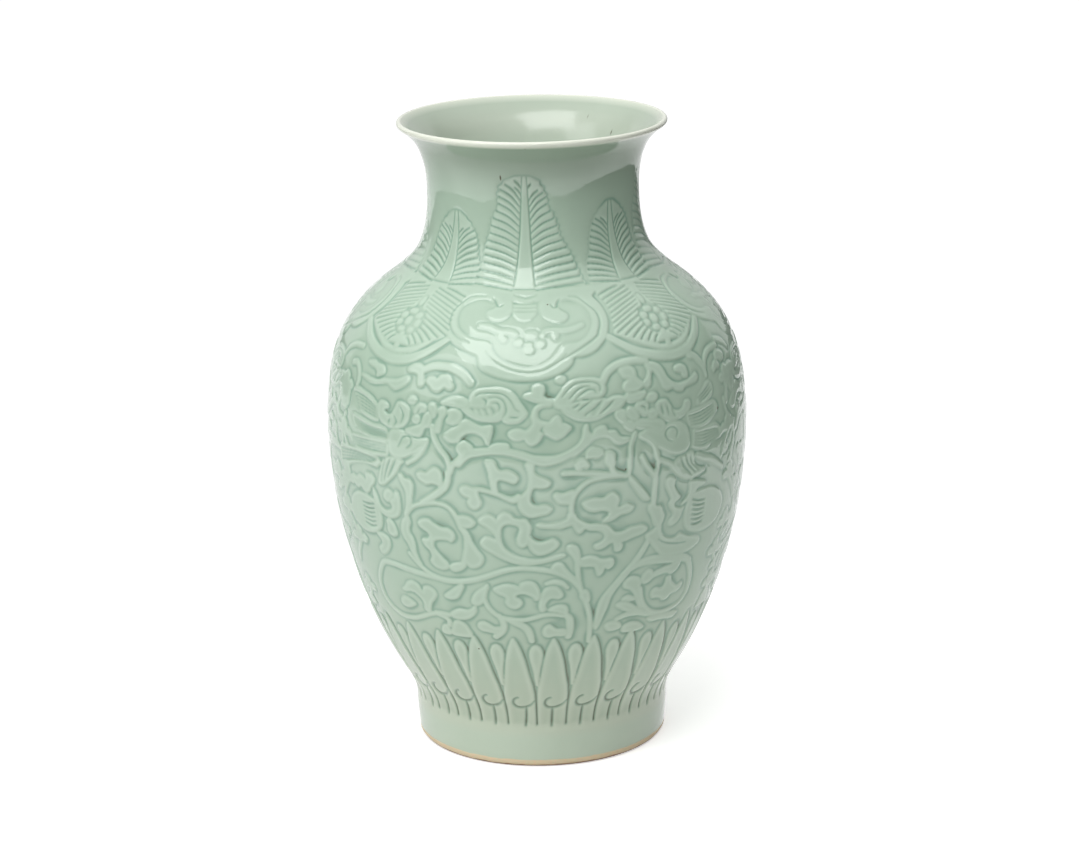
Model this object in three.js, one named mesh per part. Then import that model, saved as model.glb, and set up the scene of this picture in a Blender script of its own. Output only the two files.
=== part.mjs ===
// A celadon baluster vase: narrow foot, swelling belly, waisted neck and a mouth like a trumpet.
// Millimetres, +Z up, the axis on Z, standing on z = 0.
// It is put together as a potter does it: sections thrown one by one, then luted on each other with slip.

import * as THREE from 'three';

// Heights of the four stretches of the outline, from the table up
const FOOT_HEIGHT = 21;
const BELLY_HEIGHT = 166;
const SHOULDER_HEIGHT = 127;
const MOUTH_HEIGHT = 36;

// Outside radii
const FOOT_RADIUS = 68.2;
const FOOT_FLARE = 2.7;
const BELLY_RADIUS = 116.7;
const NECK_RADIUS = 58.2;
const MOUTH_RADIUS = 73.7;

// Clay
const BODY_WALL = 6.5;
const NECK_WALL = 5.5;
const LIP_ROUND = 1.55;
const FOOT_WALL = 7.2;
const FOOT_BEVEL = 1.4;
const BASE_RECESS = 11;
const BASE_THICKNESS = 8.4;
const LEDGE_WIDTH = 4.5;

// Slip in the joints, and the bead that it leaves on the inside
const SLIP = 0.8;
const SLIP_BEAD = 0.5;

// Heights of two joints: the waist joint above the foot, the neck joint above the widest line
const WAIST_JOINT_HEIGHT = 130;
const NECK_JOINT_HEIGHT = 90;

// Facets
const SEGMENTS = 64;
const FACET_HEIGHT = 13;
const LIP_STEPS = 9;

const BELLY_Z = FOOT_HEIGHT + BELLY_HEIGHT;
const NECK_Z = BELLY_Z + SHOULDER_HEIGHT;
const HEIGHT = NECK_Z + MOUTH_HEIGHT;
const FOOT_JOINT_Z = FOOT_HEIGHT;
const WAIST_JOINT_Z = FOOT_HEIGHT + WAIST_JOINT_HEIGHT;
const NECK_JOINT_Z = BELLY_Z + NECK_JOINT_HEIGHT;

const ANKLE_RADIUS = FOOT_RADIUS + FOOT_FLARE;
const LEDGE_RADIUS = ANKLE_RADIUS - FOOT_WALL;
const RECESS_RADIUS = LEDGE_RADIUS - LEDGE_WIDTH;
const BASE_RADIUS = LEDGE_RADIUS - SLIP;
const BASE_Z = BASE_RECESS + SLIP;
const FLOOR_Z = BASE_Z + BASE_THICKNESS;

// Where the rounded lip begins, and the middle of its rounding
const LIP_CENTRE = new THREE.Vector2(MOUTH_RADIUS - LIP_ROUND, HEIGHT - LIP_ROUND);
const LIP_START_ANGLE = THREE.MathUtils.degToRad(-50);
const LIP_START = onCircle(LIP_CENTRE, LIP_ROUND, LIP_START_ANGLE);

function onCircle(centre, radius, angle) {
  return new THREE.Vector2(centre.x + radius * Math.cos(angle), centre.y + radius * Math.sin(angle));
}

// One stretch of the outline between two driving radii. Its knots are [share of the height, share of the
// change of radius, slope in the same shares], so the stretch keeps its character at any size.
function stretch(z0, z1, r0, r1, knots) {
  return knots.map(([t, u, slope]) => ({
    z: z0 + t * (z1 - z0),
    r: r0 + u * (r1 - r0),
    slope: (slope * (r1 - r0)) / (z1 - z0),
  }));
}

const OUTLINE = [
  ...stretch(FOOT_HEIGHT, BELLY_Z, ANKLE_RADIUS, BELLY_RADIUS, [
    [0, 0, 0],
    [0.112, 0.141, 2.25],
    [0.609, 0.848, 0.83],
  ]),
  ...stretch(BELLY_Z, NECK_Z, BELLY_RADIUS, NECK_RADIUS, [
    [0, 0, 0],
    [0.118, 0.018, 0.26],
    [0.608, 0.622, 3.0],
    [0.75, 0.917, 0.91],
  ]),
  ...stretch(NECK_Z, LIP_START.y, NECK_RADIUS, LIP_START.x, [
    [0, 0, 0],
    [0.451, 0.132, 0.62],
    [0.716, 0.36, 1.29],
    [0.926, 0.778, 2.67],
    [1, 1, 2.65],
  ]),
];

// The outer radius at a height, and its slope: cubic pieces through the knots
function outlineAt(z) {
  let i = OUTLINE.length - 2;
  while (i > 0 && z < OUTLINE[i].z) {
    i -= 1;
  }
  const a = OUTLINE[i];
  const b = OUTLINE[i + 1];
  const h = b.z - a.z;
  const t = (z - a.z) / h;
  const r =
    (2 * t ** 3 - 3 * t ** 2 + 1) * a.r +
    (t ** 3 - 2 * t ** 2 + t) * h * a.slope +
    (3 * t ** 2 - 2 * t ** 3) * b.r +
    (t ** 3 - t ** 2) * h * b.slope;
  const slope =
    ((6 * t ** 2 - 6 * t) * (a.r - b.r)) / h +
    (3 * t ** 2 - 4 * t + 1) * a.slope +
    (3 * t ** 2 - 2 * t) * b.slope;
  return { r, slope };
}

// The wall thins from the body to the neck, and from there to the lip
function wallAt(z) {
  const toNeck = THREE.MathUtils.smoothstep(z, BELLY_Z, NECK_Z);
  const toLip = THREE.MathUtils.smoothstep(z, NECK_Z, LIP_START.y);
  const wall = THREE.MathUtils.lerp(BODY_WALL, NECK_WALL, toNeck);
  return THREE.MathUtils.lerp(wall, 2 * LIP_ROUND, toLip);
}

function outerPoint(z) {
  return new THREE.Vector2(outlineAt(z).r, z);
}

// Straight through the wall from the outer point at this height, by a share of the thickness
function throughWall(z, share) {
  const { r, slope } = outlineAt(z);
  const inward = new THREE.Vector2(-1, slope).normalize();
  return new THREE.Vector2(r, z).addScaledVector(inward, share * wallAt(z));
}

function steps(z0, z1, count, point) {
  return Array.from({ length: count + 1 }, (_, i) => point(z0 + (i * (z1 - z0)) / count));
}

// Heights from z0 to z1 that keep every knot of the outline, with no facet taller than FACET_HEIGHT
function heights(z0, z1) {
  const knots = OUTLINE.map((knot) => knot.z).filter((z) => z > z0 && z < z1);
  const stops = [z0, ...knots, z1];
  const climbs = knots.concat(z1).map((end, i) => {
    const count = Math.ceil((end - stops[i]) / FACET_HEIGHT);
    return steps(stops[i], end, count, (z) => z).slice(1);
  });
  return [z0, ...climbs.flat()];
}

// A closed ring turned from a profile that is listed anticlockwise in (radius, height)
function turned(profile) {
  return new THREE.LatheGeometry([...profile, profile[0]], SEGMENTS);
}

// The part of the wall between two heights, its ends cut square through the wall
function wallSection(z0, z1) {
  const levels = heights(z0, z1);
  const inside = levels.map((z) => throughWall(z, 1)).reverse();
  return turned([...levels.map(outerPoint), ...inside]);
}

// Slip pressed thin between two sections, wiped flush outside and standing in a low bead inside
function lutingRing(z) {
  const top = z + SLIP;
  const middle = z + SLIP / 2;
  const bead = 1 + SLIP_BEAD / wallAt(middle);
  return turned([
    outerPoint(z),
    outerPoint(top),
    throughWall(top, 1),
    throughWall(middle, bead),
    throughWall(z, 1),
  ]);
}

// The ring under the vase: a small bevel at each edge of its flat face, and a ledge inside for the base
function footRing() {
  const shin = THREE.MathUtils.lerp(FOOT_RADIUS, ANKLE_RADIUS, 0.78);
  return turned([
    new THREE.Vector2(FOOT_RADIUS, 0),
    new THREE.Vector2(FOOT_RADIUS + FOOT_BEVEL, 1.5 * FOOT_BEVEL),
    new THREE.Vector2(shin, FOOT_HEIGHT / 2),
    outerPoint(FOOT_JOINT_Z),
    new THREE.Vector2(LEDGE_RADIUS, FOOT_JOINT_Z),
    new THREE.Vector2(LEDGE_RADIUS, BASE_RECESS),
    new THREE.Vector2(RECESS_RADIUS, BASE_RECESS),
    new THREE.Vector2(RECESS_RADIUS, FOOT_BEVEL),
    new THREE.Vector2(RECESS_RADIUS + FOOT_BEVEL, 0),
  ]);
}

// The base lies on the ledge in its bed of slip
function baseDisc() {
  return new THREE.LatheGeometry(
    [
      new THREE.Vector2(0, BASE_Z),
      new THREE.Vector2(BASE_RADIUS, BASE_Z),
      new THREE.Vector2(BASE_RADIUS, FLOOR_Z),
      new THREE.Vector2(0, FLOOR_Z),
    ],
    SEGMENTS,
  );
}

function baseLuting() {
  return turned([
    new THREE.Vector2(RECESS_RADIUS, BASE_RECESS),
    new THREE.Vector2(LEDGE_RADIUS, BASE_RECESS),
    new THREE.Vector2(LEDGE_RADIUS, FLOOR_Z),
    new THREE.Vector2(BASE_RADIUS, FLOOR_Z),
    new THREE.Vector2(BASE_RADIUS, BASE_Z),
    new THREE.Vector2(RECESS_RADIUS, BASE_Z),
  ]);
}

// The neck and mouth end in a lip that is rounded over from the outside to the inside
function neckSection() {
  const levels = heights(NECK_JOINT_Z + SLIP, LIP_START.y);
  const rounding = steps(LIP_START_ANGLE, LIP_START_ANGLE + Math.PI, LIP_STEPS, (angle) =>
    onCircle(LIP_CENTRE, LIP_ROUND, angle),
  );
  const inside = levels.map((z) => throughWall(z, 1)).reverse();
  return turned([...levels.map(outerPoint), ...rounding.slice(1, -1), ...inside]);
}

const glaze = new THREE.MeshStandardMaterial({ color: 0xa3b5a3, roughness: 0.2, metalness: 0 });
const clay = new THREE.MeshStandardMaterial({ color: 0xd8c3a2, roughness: 0.9, metalness: 0 });

const vase = new THREE.Group();

// LatheGeometry turns about Y, so each piece is stood up on Z
function place(name, geometry, material) {
  const mesh = new THREE.Mesh(geometry, material);
  mesh.name = name;
  mesh.rotation.x = Math.PI / 2;
  vase.add(mesh);
}

place('foot_ring', footRing(), glaze);
place('base_luting', baseLuting(), clay);
place('base_disc', baseDisc(), glaze);
place('foot_luting', lutingRing(FOOT_JOINT_Z), clay);
place('lower_body', wallSection(FOOT_JOINT_Z + SLIP, WAIST_JOINT_Z), glaze);
place('waist_luting', lutingRing(WAIST_JOINT_Z), clay);
place('upper_body', wallSection(WAIST_JOINT_Z + SLIP, NECK_JOINT_Z), glaze);
place('neck_luting', lutingRing(NECK_JOINT_Z), clay);
place('neck', neckSection(), glaze);

export default vase;
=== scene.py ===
"""The looks of a celadon vase: carved clay under a thick grey-green glaze, with a bare running edge."""

import math

import bpy
import numpy as np
from mathutils import Matrix, Vector


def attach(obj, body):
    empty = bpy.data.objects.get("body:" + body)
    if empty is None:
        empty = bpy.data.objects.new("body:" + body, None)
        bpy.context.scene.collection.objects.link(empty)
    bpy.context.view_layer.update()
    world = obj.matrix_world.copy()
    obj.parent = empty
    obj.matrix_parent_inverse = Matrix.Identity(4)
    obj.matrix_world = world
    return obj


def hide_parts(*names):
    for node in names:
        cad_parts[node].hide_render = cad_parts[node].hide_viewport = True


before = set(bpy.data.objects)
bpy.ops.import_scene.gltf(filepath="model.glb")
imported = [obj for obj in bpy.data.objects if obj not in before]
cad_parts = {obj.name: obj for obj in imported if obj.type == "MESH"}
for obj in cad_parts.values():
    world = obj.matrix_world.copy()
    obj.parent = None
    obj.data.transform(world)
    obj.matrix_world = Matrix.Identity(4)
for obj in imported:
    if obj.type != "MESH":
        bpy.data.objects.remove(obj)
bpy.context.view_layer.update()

# Shapes are worked out in millimetres and written into the meshes in metres
MM = 0.001

# Where the photograph was taken from, found from the rims of the mouth and of the foot: metres and radians
CAMERA_AT = Vector((0, -1.7030, 0.6580))
LENS = 105.763
SENSOR = 36
LOOK_DOWN = 0.2778
TILT = -0.0178
TURN = 0.0009


def place_camera():
    data = bpy.data.cameras.new("photograph")
    data.lens = LENS
    data.sensor_width = SENSOR
    camera = bpy.data.objects.new("photograph", data)
    bpy.context.scene.collection.objects.link(camera)
    bpy.context.scene.camera = camera
    ahead = Vector((
        math.sin(TURN) * math.cos(LOOK_DOWN),
        math.cos(TURN) * math.cos(LOOK_DOWN),
        -math.sin(LOOK_DOWN),
    ))
    right = Vector((math.cos(TURN), -math.sin(TURN), 0))
    up = right.cross(ahead)
    across = right * math.cos(TILT) + up * math.sin(TILT)
    upright = up * math.cos(TILT) - right * math.sin(TILT)
    turned = Matrix((across, upright, -ahead)).transposed().to_4x4()
    camera.matrix_world = Matrix.Translation(CAMERA_AT) @ turned


place_camera()

# Sizes, the same as those of the solids
FOOT_HEIGHT = 21
BELLY_Z = 187
NECK_Z = 314
HEIGHT = 350
FOOT_RADIUS = 68.2
SHIN_RADIUS = 70.32
ANKLE_RADIUS = 70.9
BELLY_RADIUS = 116.7
NECK_RADIUS = 58.2
MOUTH_RADIUS = 73.7
BODY_WALL = 6.5
NECK_WALL = 5.5
LIP_ROUND = 1.55
FOOT_BEVEL = 1.4
FOOT_BEVEL_TOP = 2.1
LEDGE_RADIUS = 63.7
RECESS_RADIUS = 59.2
BASE_RECESS = 11
BASE_RADIUS = 62.9
BASE_Z = 11.8
FLOOR_Z = 20.2
SLIP = 0.8
SLIP_BEAD = 0.5
JOINTS = (FOOT_HEIGHT, 151, 277)

LIP_CENTRE = np.array([MOUTH_RADIUS - LIP_ROUND, HEIGHT - LIP_ROUND])
LIP_FROM = math.radians(-50)
LIP_START = LIP_CENTRE + LIP_ROUND * np.array([math.cos(LIP_FROM), math.sin(LIP_FROM)])


def stretch(z0, z1, r0, r1, knots):
    """A stretch of the outline from knots: share of its height, share of its change of radius, slope."""
    rise = z1 - z0
    wider = r1 - r0
    return [(z0 + t * rise, r0 + u * wider, slope * wider / rise) for t, u, slope in knots]


OUTLINE = np.array(
    stretch(FOOT_HEIGHT, BELLY_Z, ANKLE_RADIUS, BELLY_RADIUS, [
        (0, 0, 0),
        (0.112, 0.141, 2.25),
        (0.609, 0.848, 0.83),
    ])
    + stretch(BELLY_Z, NECK_Z, BELLY_RADIUS, NECK_RADIUS, [
        (0, 0, 0),
        (0.118, 0.018, 0.26),
        (0.608, 0.622, 3.0),
        (0.75, 0.917, 0.91),
    ])
    + stretch(NECK_Z, LIP_START[1], NECK_RADIUS, LIP_START[0], [
        (0, 0, 0),
        (0.451, 0.132, 0.62),
        (0.716, 0.36, 1.29),
        (0.926, 0.778, 2.67),
        (1, 1, 2.65),
    ])
)
# The shin of the foot ring, in knots of height, radius and slope, runs up into the body without a crease
SHIN = np.array([
    (FOOT_BEVEL_TOP, FOOT_RADIUS + FOOT_BEVEL, 0.1),
    (FOOT_HEIGHT / 2, SHIN_RADIUS, 0.075),
    (FOOT_HEIGHT, ANKLE_RADIUS, 0),
])


def through_knots(knots, z):
    """Radius and slope at heights z: cubic pieces through knots of height, radius and slope."""
    i = np.clip(np.searchsorted(knots[:, 0], z, side="right") - 1, 0, len(knots) - 2)
    z0, r0, m0 = knots[i].T
    z1, r1, m1 = knots[i + 1].T
    h = z1 - z0
    t = (z - z0) / h
    radius = (
        (2 * t ** 3 - 3 * t ** 2 + 1) * r0 + (t ** 3 - 2 * t ** 2 + t) * h * m0
        + (3 * t ** 2 - 2 * t ** 3) * r1 + (t ** 3 - t ** 2) * h * m1
    )
    slope = (6 * t ** 2 - 6 * t) * (r0 - r1) / h + (3 * t ** 2 - 4 * t + 1) * m0 + (3 * t ** 2 - 2 * t) * m1
    return radius, slope


def ease(low, high, x):
    """0 below low, 1 above high, smooth between them."""
    t = np.clip((x - low) / (high - low), 0, 1)
    return t * t * (3 - 2 * t)


def wall_at(z):
    """Thickness of the wall: thinner up the neck, and as thin as the lip at the top."""
    body = BODY_WALL + (NECK_WALL - BODY_WALL) * ease(BELLY_Z, NECK_Z, z)
    return body + (2 * LIP_ROUND - body) * ease(NECK_Z, LIP_START[1], z)


# The outside, unrolled: turn is in degrees from the front, positive to the right of the photograph, and
# climb is in millimetres along the outline, from the table up
COLUMNS = 1080
ROW = 0.6
TURNS = (np.arange(COLUMNS) + 0.5) * 360 / COLUMNS - 180
# How much wider the foot ring gets in its lower and in its upper half
FOOT_SPREAD = (2.1, 0.6)
FOOT_CLIMB = sum(math.hypot(wider, FOOT_HEIGHT / 2) for wider in FOOT_SPREAD)

# Points of a smooth line, about this far apart, with a degree taken for so many millimetres
PATH_STEP = 1.2
MM_PER_DEGREE = 2.0

# How far round a raised part the ground is shaped by it, and what a cell says that no raised part is near
GROUND_REACH = 9
FAR = 99.0
OPEN_GROUND = 30.0

# The slope of a cut line goes past its edge by this share of its half width, and is worked out this far off
CUT_SLOPE = 0.35
CUT_MARGIN = 1.5

# A leaf is narrow at its ends and full after so many half widths; its edges swell and sway with its lobes
LEAF_END = 0.3
LEAF_FULL_AFTER = 1.3
LEAF_BETWEEN_LOBES = 0.92
LEAF_SWELLS = 0.22
LEAF_SWAYS = 0.3


def smooth_path(points, closed=False):
    """A smooth line through points of turn and climb."""
    p = np.asarray(points, float)
    if closed:
        p = np.vstack([p[-1:], p, p[:2]])
    else:
        p = np.vstack([2 * p[0] - p[1], p, 2 * p[-1] - p[-2]])
    out = []
    for a, b, c, d in zip(p, p[1:], p[2:], p[3:]):
        count = max(2, int(math.hypot((c[0] - b[0]) * MM_PER_DEGREE, c[1] - b[1]) / PATH_STEP) + 1)
        t = (np.arange(count) / count)[:, None]
        out.append(0.5 * (2 * b + (c - a) * t + (2 * a - 5 * b + 4 * c - d) * t ** 2
                          + (3 * b - a - 3 * c + d) * t ** 3))
    out.append(p[-2:-1])
    return np.vstack(out)


def taper(widths, count):
    """Half widths along a line, from those at its start, its middle and its end."""
    t = np.linspace(0, 1, count)
    start, middle, end = widths
    swell = np.sin(t * math.pi)
    return np.where(t < 0.5, start + (middle - start) * swell, end + (middle - end) * swell)


def leafy(path, half, scale, lobe):
    """A leaf from a stroke: its two edges swell by turns, and it runs out in points."""
    x, y = path[:, 0] * scale, path[:, 1]
    dx, dy = np.gradient(x), np.gradient(y)
    length = np.hypot(dx, dy) + 1e-9
    run = np.concatenate([[0], np.cumsum(np.hypot(np.diff(x), np.diff(y)))])
    to_the_end = np.minimum(run, run[-1] - run)
    plump = np.sqrt(np.clip(to_the_end / (LEAF_FULL_AFTER * half.max()), 0, 1))
    wave = np.sin(math.pi * run / lobe) * plump
    half = half * (LEAF_END + (1 - LEAF_END) * plump) * (LEAF_BETWEEN_LOBES + LEAF_SWELLS * np.abs(wave))
    aside = LEAF_SWAYS * half * wave
    swung = np.stack([path[:, 0] - aside * dy / length / scale, y + aside * dx / length], -1)
    return swung, half


class Carving:
    """How far each cell is outside the edge of the raised parts, and how deep it is cut by thin lines."""

    def __init__(self, climb, radius):
        self.climb = climb
        self.radius = radius
        self.edge = np.full((len(climb), COLUMNS), OPEN_GROUND, np.float32)
        self.cut = np.zeros((len(climb), COLUMNS), np.float32)
        self.sunk = np.ones((len(climb), COLUMNS), np.float32)

    def _near(self, path, half, margin):
        """Cells near a path, how far each is outside it, and the flat places of the cells and of the path."""
        low, high = path.min(0), path.max(0)
        rows = np.nonzero((self.climb > low[1] - margin) & (self.climb < high[1] + margin))[0]
        if len(rows) == 0:
            return None
        scale = np.radians(self.radius[rows])
        reach = margin / scale.min()
        first = math.floor((low[0] - reach + 180) * COLUMNS / 360)
        last = math.ceil((high[0] + reach + 180) * COLUMNS / 360)
        columns = np.arange(first, min(last, first + COLUMNS - 1) + 1)
        turn = (columns + 0.5) * 360 / COLUMNS - 180
        middle = (low[0] + high[0]) / 2
        x = ((turn - middle)[None, :] * scale[:, None]).astype(np.float32)
        y = self.climb[rows].astype(np.float32)[:, None] + np.zeros_like(x)
        px = (path[:, 0] - middle) * np.radians(np.interp(path[:, 1], self.climb, self.radius))
        py = path[:, 1]
        outside = np.full(x.shape, FAR, np.float32)
        for i in range(len(path) - 1):
            dx = px[i + 1] - px[i]
            dy = py[i + 1] - py[i]
            along = np.clip(((x - px[i]) * dx + (y - py[i]) * dy) / (dx * dx + dy * dy + 1e-9), 0, 1)
            away = np.hypot(x - px[i] - along * dx, y - py[i] - along * dy)
            np.minimum(outside, away - half[i] - along * (half[i + 1] - half[i]), out=outside)
        return np.ix_(rows, columns % COLUMNS), outside, x, y, px, py

    def ridge(self, widths, points, lobe=0):
        """A raised stroke, with half widths at its start, middle and end, or a leaf with lobes this long."""
        path = smooth_path(points)
        half = taper(widths, len(path))
        if lobe:
            scale = math.radians(np.interp(path[:, 1].mean(), self.climb, self.radius))
            path, half = leafy(path, half, scale, lobe)
        near = self._near(path, half, GROUND_REACH + max(widths))
        if near:
            self.edge[near[0]] = np.minimum(self.edge[near[0]], near[1])

    def _area(self, points, curved):
        """Cells near a closed outline, and how far each is outside it."""
        path = smooth_path(points, closed=True) if curved else np.vstack([points, points[:1]])
        near = self._near(path, np.zeros(len(path)), GROUND_REACH)
        if not near:
            return None
        cells, away, x, y, px, py = near
        inside = np.zeros(x.shape, bool)
        for x0, y0, x1, y1 in zip(px, py, px[1:], py[1:]):
            crosses = (y0 > y) != (y1 > y)
            inside ^= crosses & (x < x0 + (y - y0) * (x1 - x0) / (y1 - y0 + 1e-9))
        return cells, np.where(inside, -away, away)

    def patch(self, points, curved=False):
        """A raised part with a closed outline."""
        area = self._area(points, curved)
        if area:
            self.edge[area[0]] = np.minimum(self.edge[area[0]], area[1])

    def hollow(self, points, depth):
        """A sunk field with a closed outline in a raised part, at this share of the depth of the ground."""
        area = self._area(points, True)
        if area:
            cells, outside = area
            self.edge[cells] = np.maximum(self.edge[cells], -outside)
            self.sunk[cells] = np.where(outside < 0, depth, self.sunk[cells])

    def line(self, widths, points, depth):
        """A thin cut line, with half widths at its start, middle and end."""
        path = smooth_path(points)
        widest = max(widths)
        near = self._near(path, taper(widths, len(path)), widest + CUT_MARGIN)
        if near:
            into = np.clip((CUT_SLOPE - near[1] / widest) / (1 + CUT_SLOPE), 0, 1)
            self.cut[near[0]] = np.maximum(self.cut[near[0]], depth * into)


def pairs(numbers):
    return np.array(numbers, float).reshape(-1, 2)


def moved(points, middle):
    return [(middle + x, s) for x, s in points]


def both_sides(side, middle):
    """A closed outline from its right side, mirrored about the middle."""
    return [(middle - x, s) for x, s in side] + [(middle + x, s) for x, s in side[::-1]]


# Half the length of the stroke that makes a knob which is no longer than it is wide
ROUND_KNOB = 0.01


def knob(carving, turn, climb, half_width, half_height):
    """An oval boss, as a short fat stroke."""
    scale = math.radians(np.interp(climb, carving.climb, carving.radius))
    width = min(half_width, half_height)
    dx = max(half_width - half_height, ROUND_KNOB) / scale
    dy = max(half_height - half_width, ROUND_KNOB)
    carving.ridge((width, width, width), [(turn - dx, climb - dy), (turn + dx, climb + dy)])


# Lappets round the foot: a row of stiff leaves, with the tips of a second row between them
LAPPET_COUNT = 28
LAPPET_MIDDLE = 4.1
FRONT_LAPPET = [
    (5.7, 24), (5.7, 38), (5.6, 49), (5.2, 56), (4.6, 61), (4.05, 66), (3.6, 71), (3.1, 76), (2.4, 81),
    (1.6, 85.5), (0.85, 88.8), (0.2, 91.2),
]
BACK_LAPPET = [
    (0.2, 56.5), (0.6, 61), (0.85, 66), (1.3, 71), (1.9, 76), (2.15, 80), (1.9, 83), (1.2, 85.6), (0.3, 86.6),
]
BACK_LAPPET_ASIDE = 0.7
LAPPET_CURL = [
    (5.6, 43.6), (4.6, 41.2), (3.2, 39.4), (1.4, 38.3), (-0.4, 38), (-2, 38.8), (-2.95, 41), (-2.8, 43.6),
    (-1.9, 45.6), (-0.8, 46.5),
]
# The stalk under each curl: turn, share of its lean, climb. The leans follow each other round the foot.
LAPPET_STALK = [(0.2, 1, 38), (0.1, 0.9, 31), (0, 0.7, 25)]
STALK_LEANS = (0, 0, 0.9, 0.4, 0.3, 0.6, 2)


def lappets(carving):
    for i in range(LAPPET_COUNT):
        middle = LAPPET_MIDDLE + i * 360 / LAPPET_COUNT
        lean = STALK_LEANS[i % len(STALK_LEANS)]
        carving.patch(both_sides(FRONT_LAPPET, middle))
        carving.patch(both_sides(BACK_LAPPET, middle + 180 / LAPPET_COUNT + BACK_LAPPET_ASIDE))
        carving.line((0.7, 1.1, 0.8), moved(LAPPET_CURL, middle), 0.85)
        stalk = [(middle + aside + share * lean, s) for aside, share, s in LAPPET_STALK]
        carving.line((0.8, 0.95, 1.0), stalk, 0.9)


# The collar on the shoulder: four ruyi heads, and four fans between them
RUYI_MIDDLE = -3.7
FAN_MIDDLE = 43.6
RUYI_OUTLINE = [
    (-26.3, 295), (-28.6, 289), (-29.5, 283), (-29.3, 277), (-28.2, 271), (-26.4, 266.4), (-23.9, 261.6),
    (-20.3, 258), (-16.3, 255.2), (-14, 253.6), (-13.3, 251), (-12.6, 247.8), (-10.6, 245), (-7, 242.6),
    (-2.3, 241), (2.7, 241), (7.7, 242.5), (11.7, 245.5), (14, 249), (14.9, 252.6), (17.7, 253),
    (20.9, 254.6), (23.9, 258.4), (26.4, 263.2), (28.3, 269.6), (29, 276), (28.5, 283), (26.9, 289),
    (25.2, 295),
]
RUYI_RIM = [
    (-12.6, 288.6), (-15, 290), (-18.4, 289.8), (-21.6, 288), (-24.2, 284.6), (-25.1, 280), (-24.6, 274.2),
    (-22.8, 268.6), (-19.8, 264.6), (-16.2, 262.2), (-11.2, 261), (-10.3, 257.6), (-8.9, 254), (-6.7, 250.6),
    (-3.2, 247.6), (0.9, 246.1), (4.8, 247), (7.8, 249.6), (9.8, 252.7), (11.4, 256), (12.9, 259),
    (16.9, 259.8), (20.2, 263), (22.7, 268), (24.1, 274), (24, 280), (22.4, 285), (19.6, 288.2),
    (16.2, 289.6), (12.7, 288.5),
]
RUYI_CURLS = [
    [(-14.4, 296), (-15.4, 292.4), (-13.2, 290.6), (-11.8, 288), (-10.9, 285.2), (-11.6, 283.2),
     (-13.3, 281.8), (-13.9, 279.4), (-12.4, 276.8), (-9.4, 275.2), (-6.5, 277.2), (-4.7, 282), (-5.1, 288),
     (-7, 296)],
    [(6, 296), (5.8, 290), (5.3, 286), (5.4, 282), (6.8, 277.6), (9.6, 274.8), (13, 274), (15.1, 276.6),
     (14.8, 279.6), (13.2, 281.6), (12.2, 284), (12.6, 286.8), (14, 289.6), (16.4, 291.6), (15, 296)],
]
RUYI_CURL_LINES = [
    [(-13, 290), (-11.6, 287.6), (-10.6, 285), (-9.4, 284.6), (-8.6, 286)],
    [(13.4, 289), (12.2, 286.6), (11.8, 284.2), (10.6, 284), (9.8, 285.8)],
]
# A finial in two tiers between the curls, and its cut lines: half width, climb, dip
FINIAL_SIDE = [(4.3, 286), (4.4, 282.4), (3.9, 279), (2.2, 276), (0, 275)]
FINIAL_FOOT_SIDE = [(5.2, 295), (5, 290), (2.6, 287.6), (0, 287)]
FINIAL_LINES = [(4.6, 292.6, 2.4), (2.8, 292.4, 1.2), (4.2, 284.2, 0.3), (4.1, 281.6, 0.2)]
# Tendrils of the front head: half widths at the start, the middle and the end, then turn and climb in pairs
RUYI_TENDRILS = [
    (1.2, 1.6, 1.3, -18.6, 271.6, -16.6, 271.4, -14.8, 270.8, -12.6, 269.2, -10.6, 268.4, -8.4, 268.4,
     -6.4, 267),
    (1.5, 1.7, 1.8, -11, 268, -10.9, 265.4, -9.9, 263.6),
    (1.2, 1.6, 1.2, 15.6, 271, 13.4, 269.6, 11, 268.6, 8.4, 268.4, 5.6, 269, 3.2, 268.2, 2.4, 266),
    (1.6, 1.7, 1.5, 6.6, 267.8, 6.4, 265.4),
]
# Knobs are turn, climb, half the width and half the height
RUYI_KNOBS = [
    (2.6, 266.4, 3.4, 2.4), (-1.4, 262, 2.3, 2.4), (5.4, 261, 2.3, 2.6), (1.7, 257.4, 2.9, 2.4),
    (1.8, 260.8, 2.0, 1.0),
]
FAN_SIDE = [
    (5, 254.6), (10, 257.6), (14.4, 261), (17.4, 264), (17, 270), (15.8, 277), (15.9, 284), (17.6, 290),
    (17.6, 293.8), (7, 293.8),
]
# Veins of a fan, each from its edge to its middle
FAN_VEINS = [
    (17.5, 289.5, 7, 293.6), (17, 286, 3, 292.5), (16.6, 282.8, 2.6, 290), (16.4, 279.6, 2.4, 287.4),
    (16.4, 276.4, 2.4, 284.8), (16.6, 273.2, 2.8, 282.2), (16.9, 270, 3.4, 279.4), (17.2, 266.8, 4, 276.6),
    (16.6, 263.8, 5.4, 272.6), (14.2, 261.8, 5.6, 269.4), (11.8, 259.8, 5.4, 266.4), (9.4, 258, 5, 263.6),
    (7, 256.6, 3.8, 261.4), (4.8, 255.4, 2.6, 259),
]
FAN_GARLAND = [
    (-20, 262), (-16.6, 257), (-12.6, 252), (-7.6, 248.4), (-3, 246.6), (1.4, 246), (6.4, 247.6), (11.4, 252),
    (14.6, 256.2), (17.6, 261),
]
FAN_INNER_GARLAND = [
    (-17, 264), (-13, 260), (-8.6, 255.6), (-3.6, 251.6), (1.4, 250.8), (6.4, 252.8), (10.4, 257),
    (13.4, 262),
]
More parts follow.
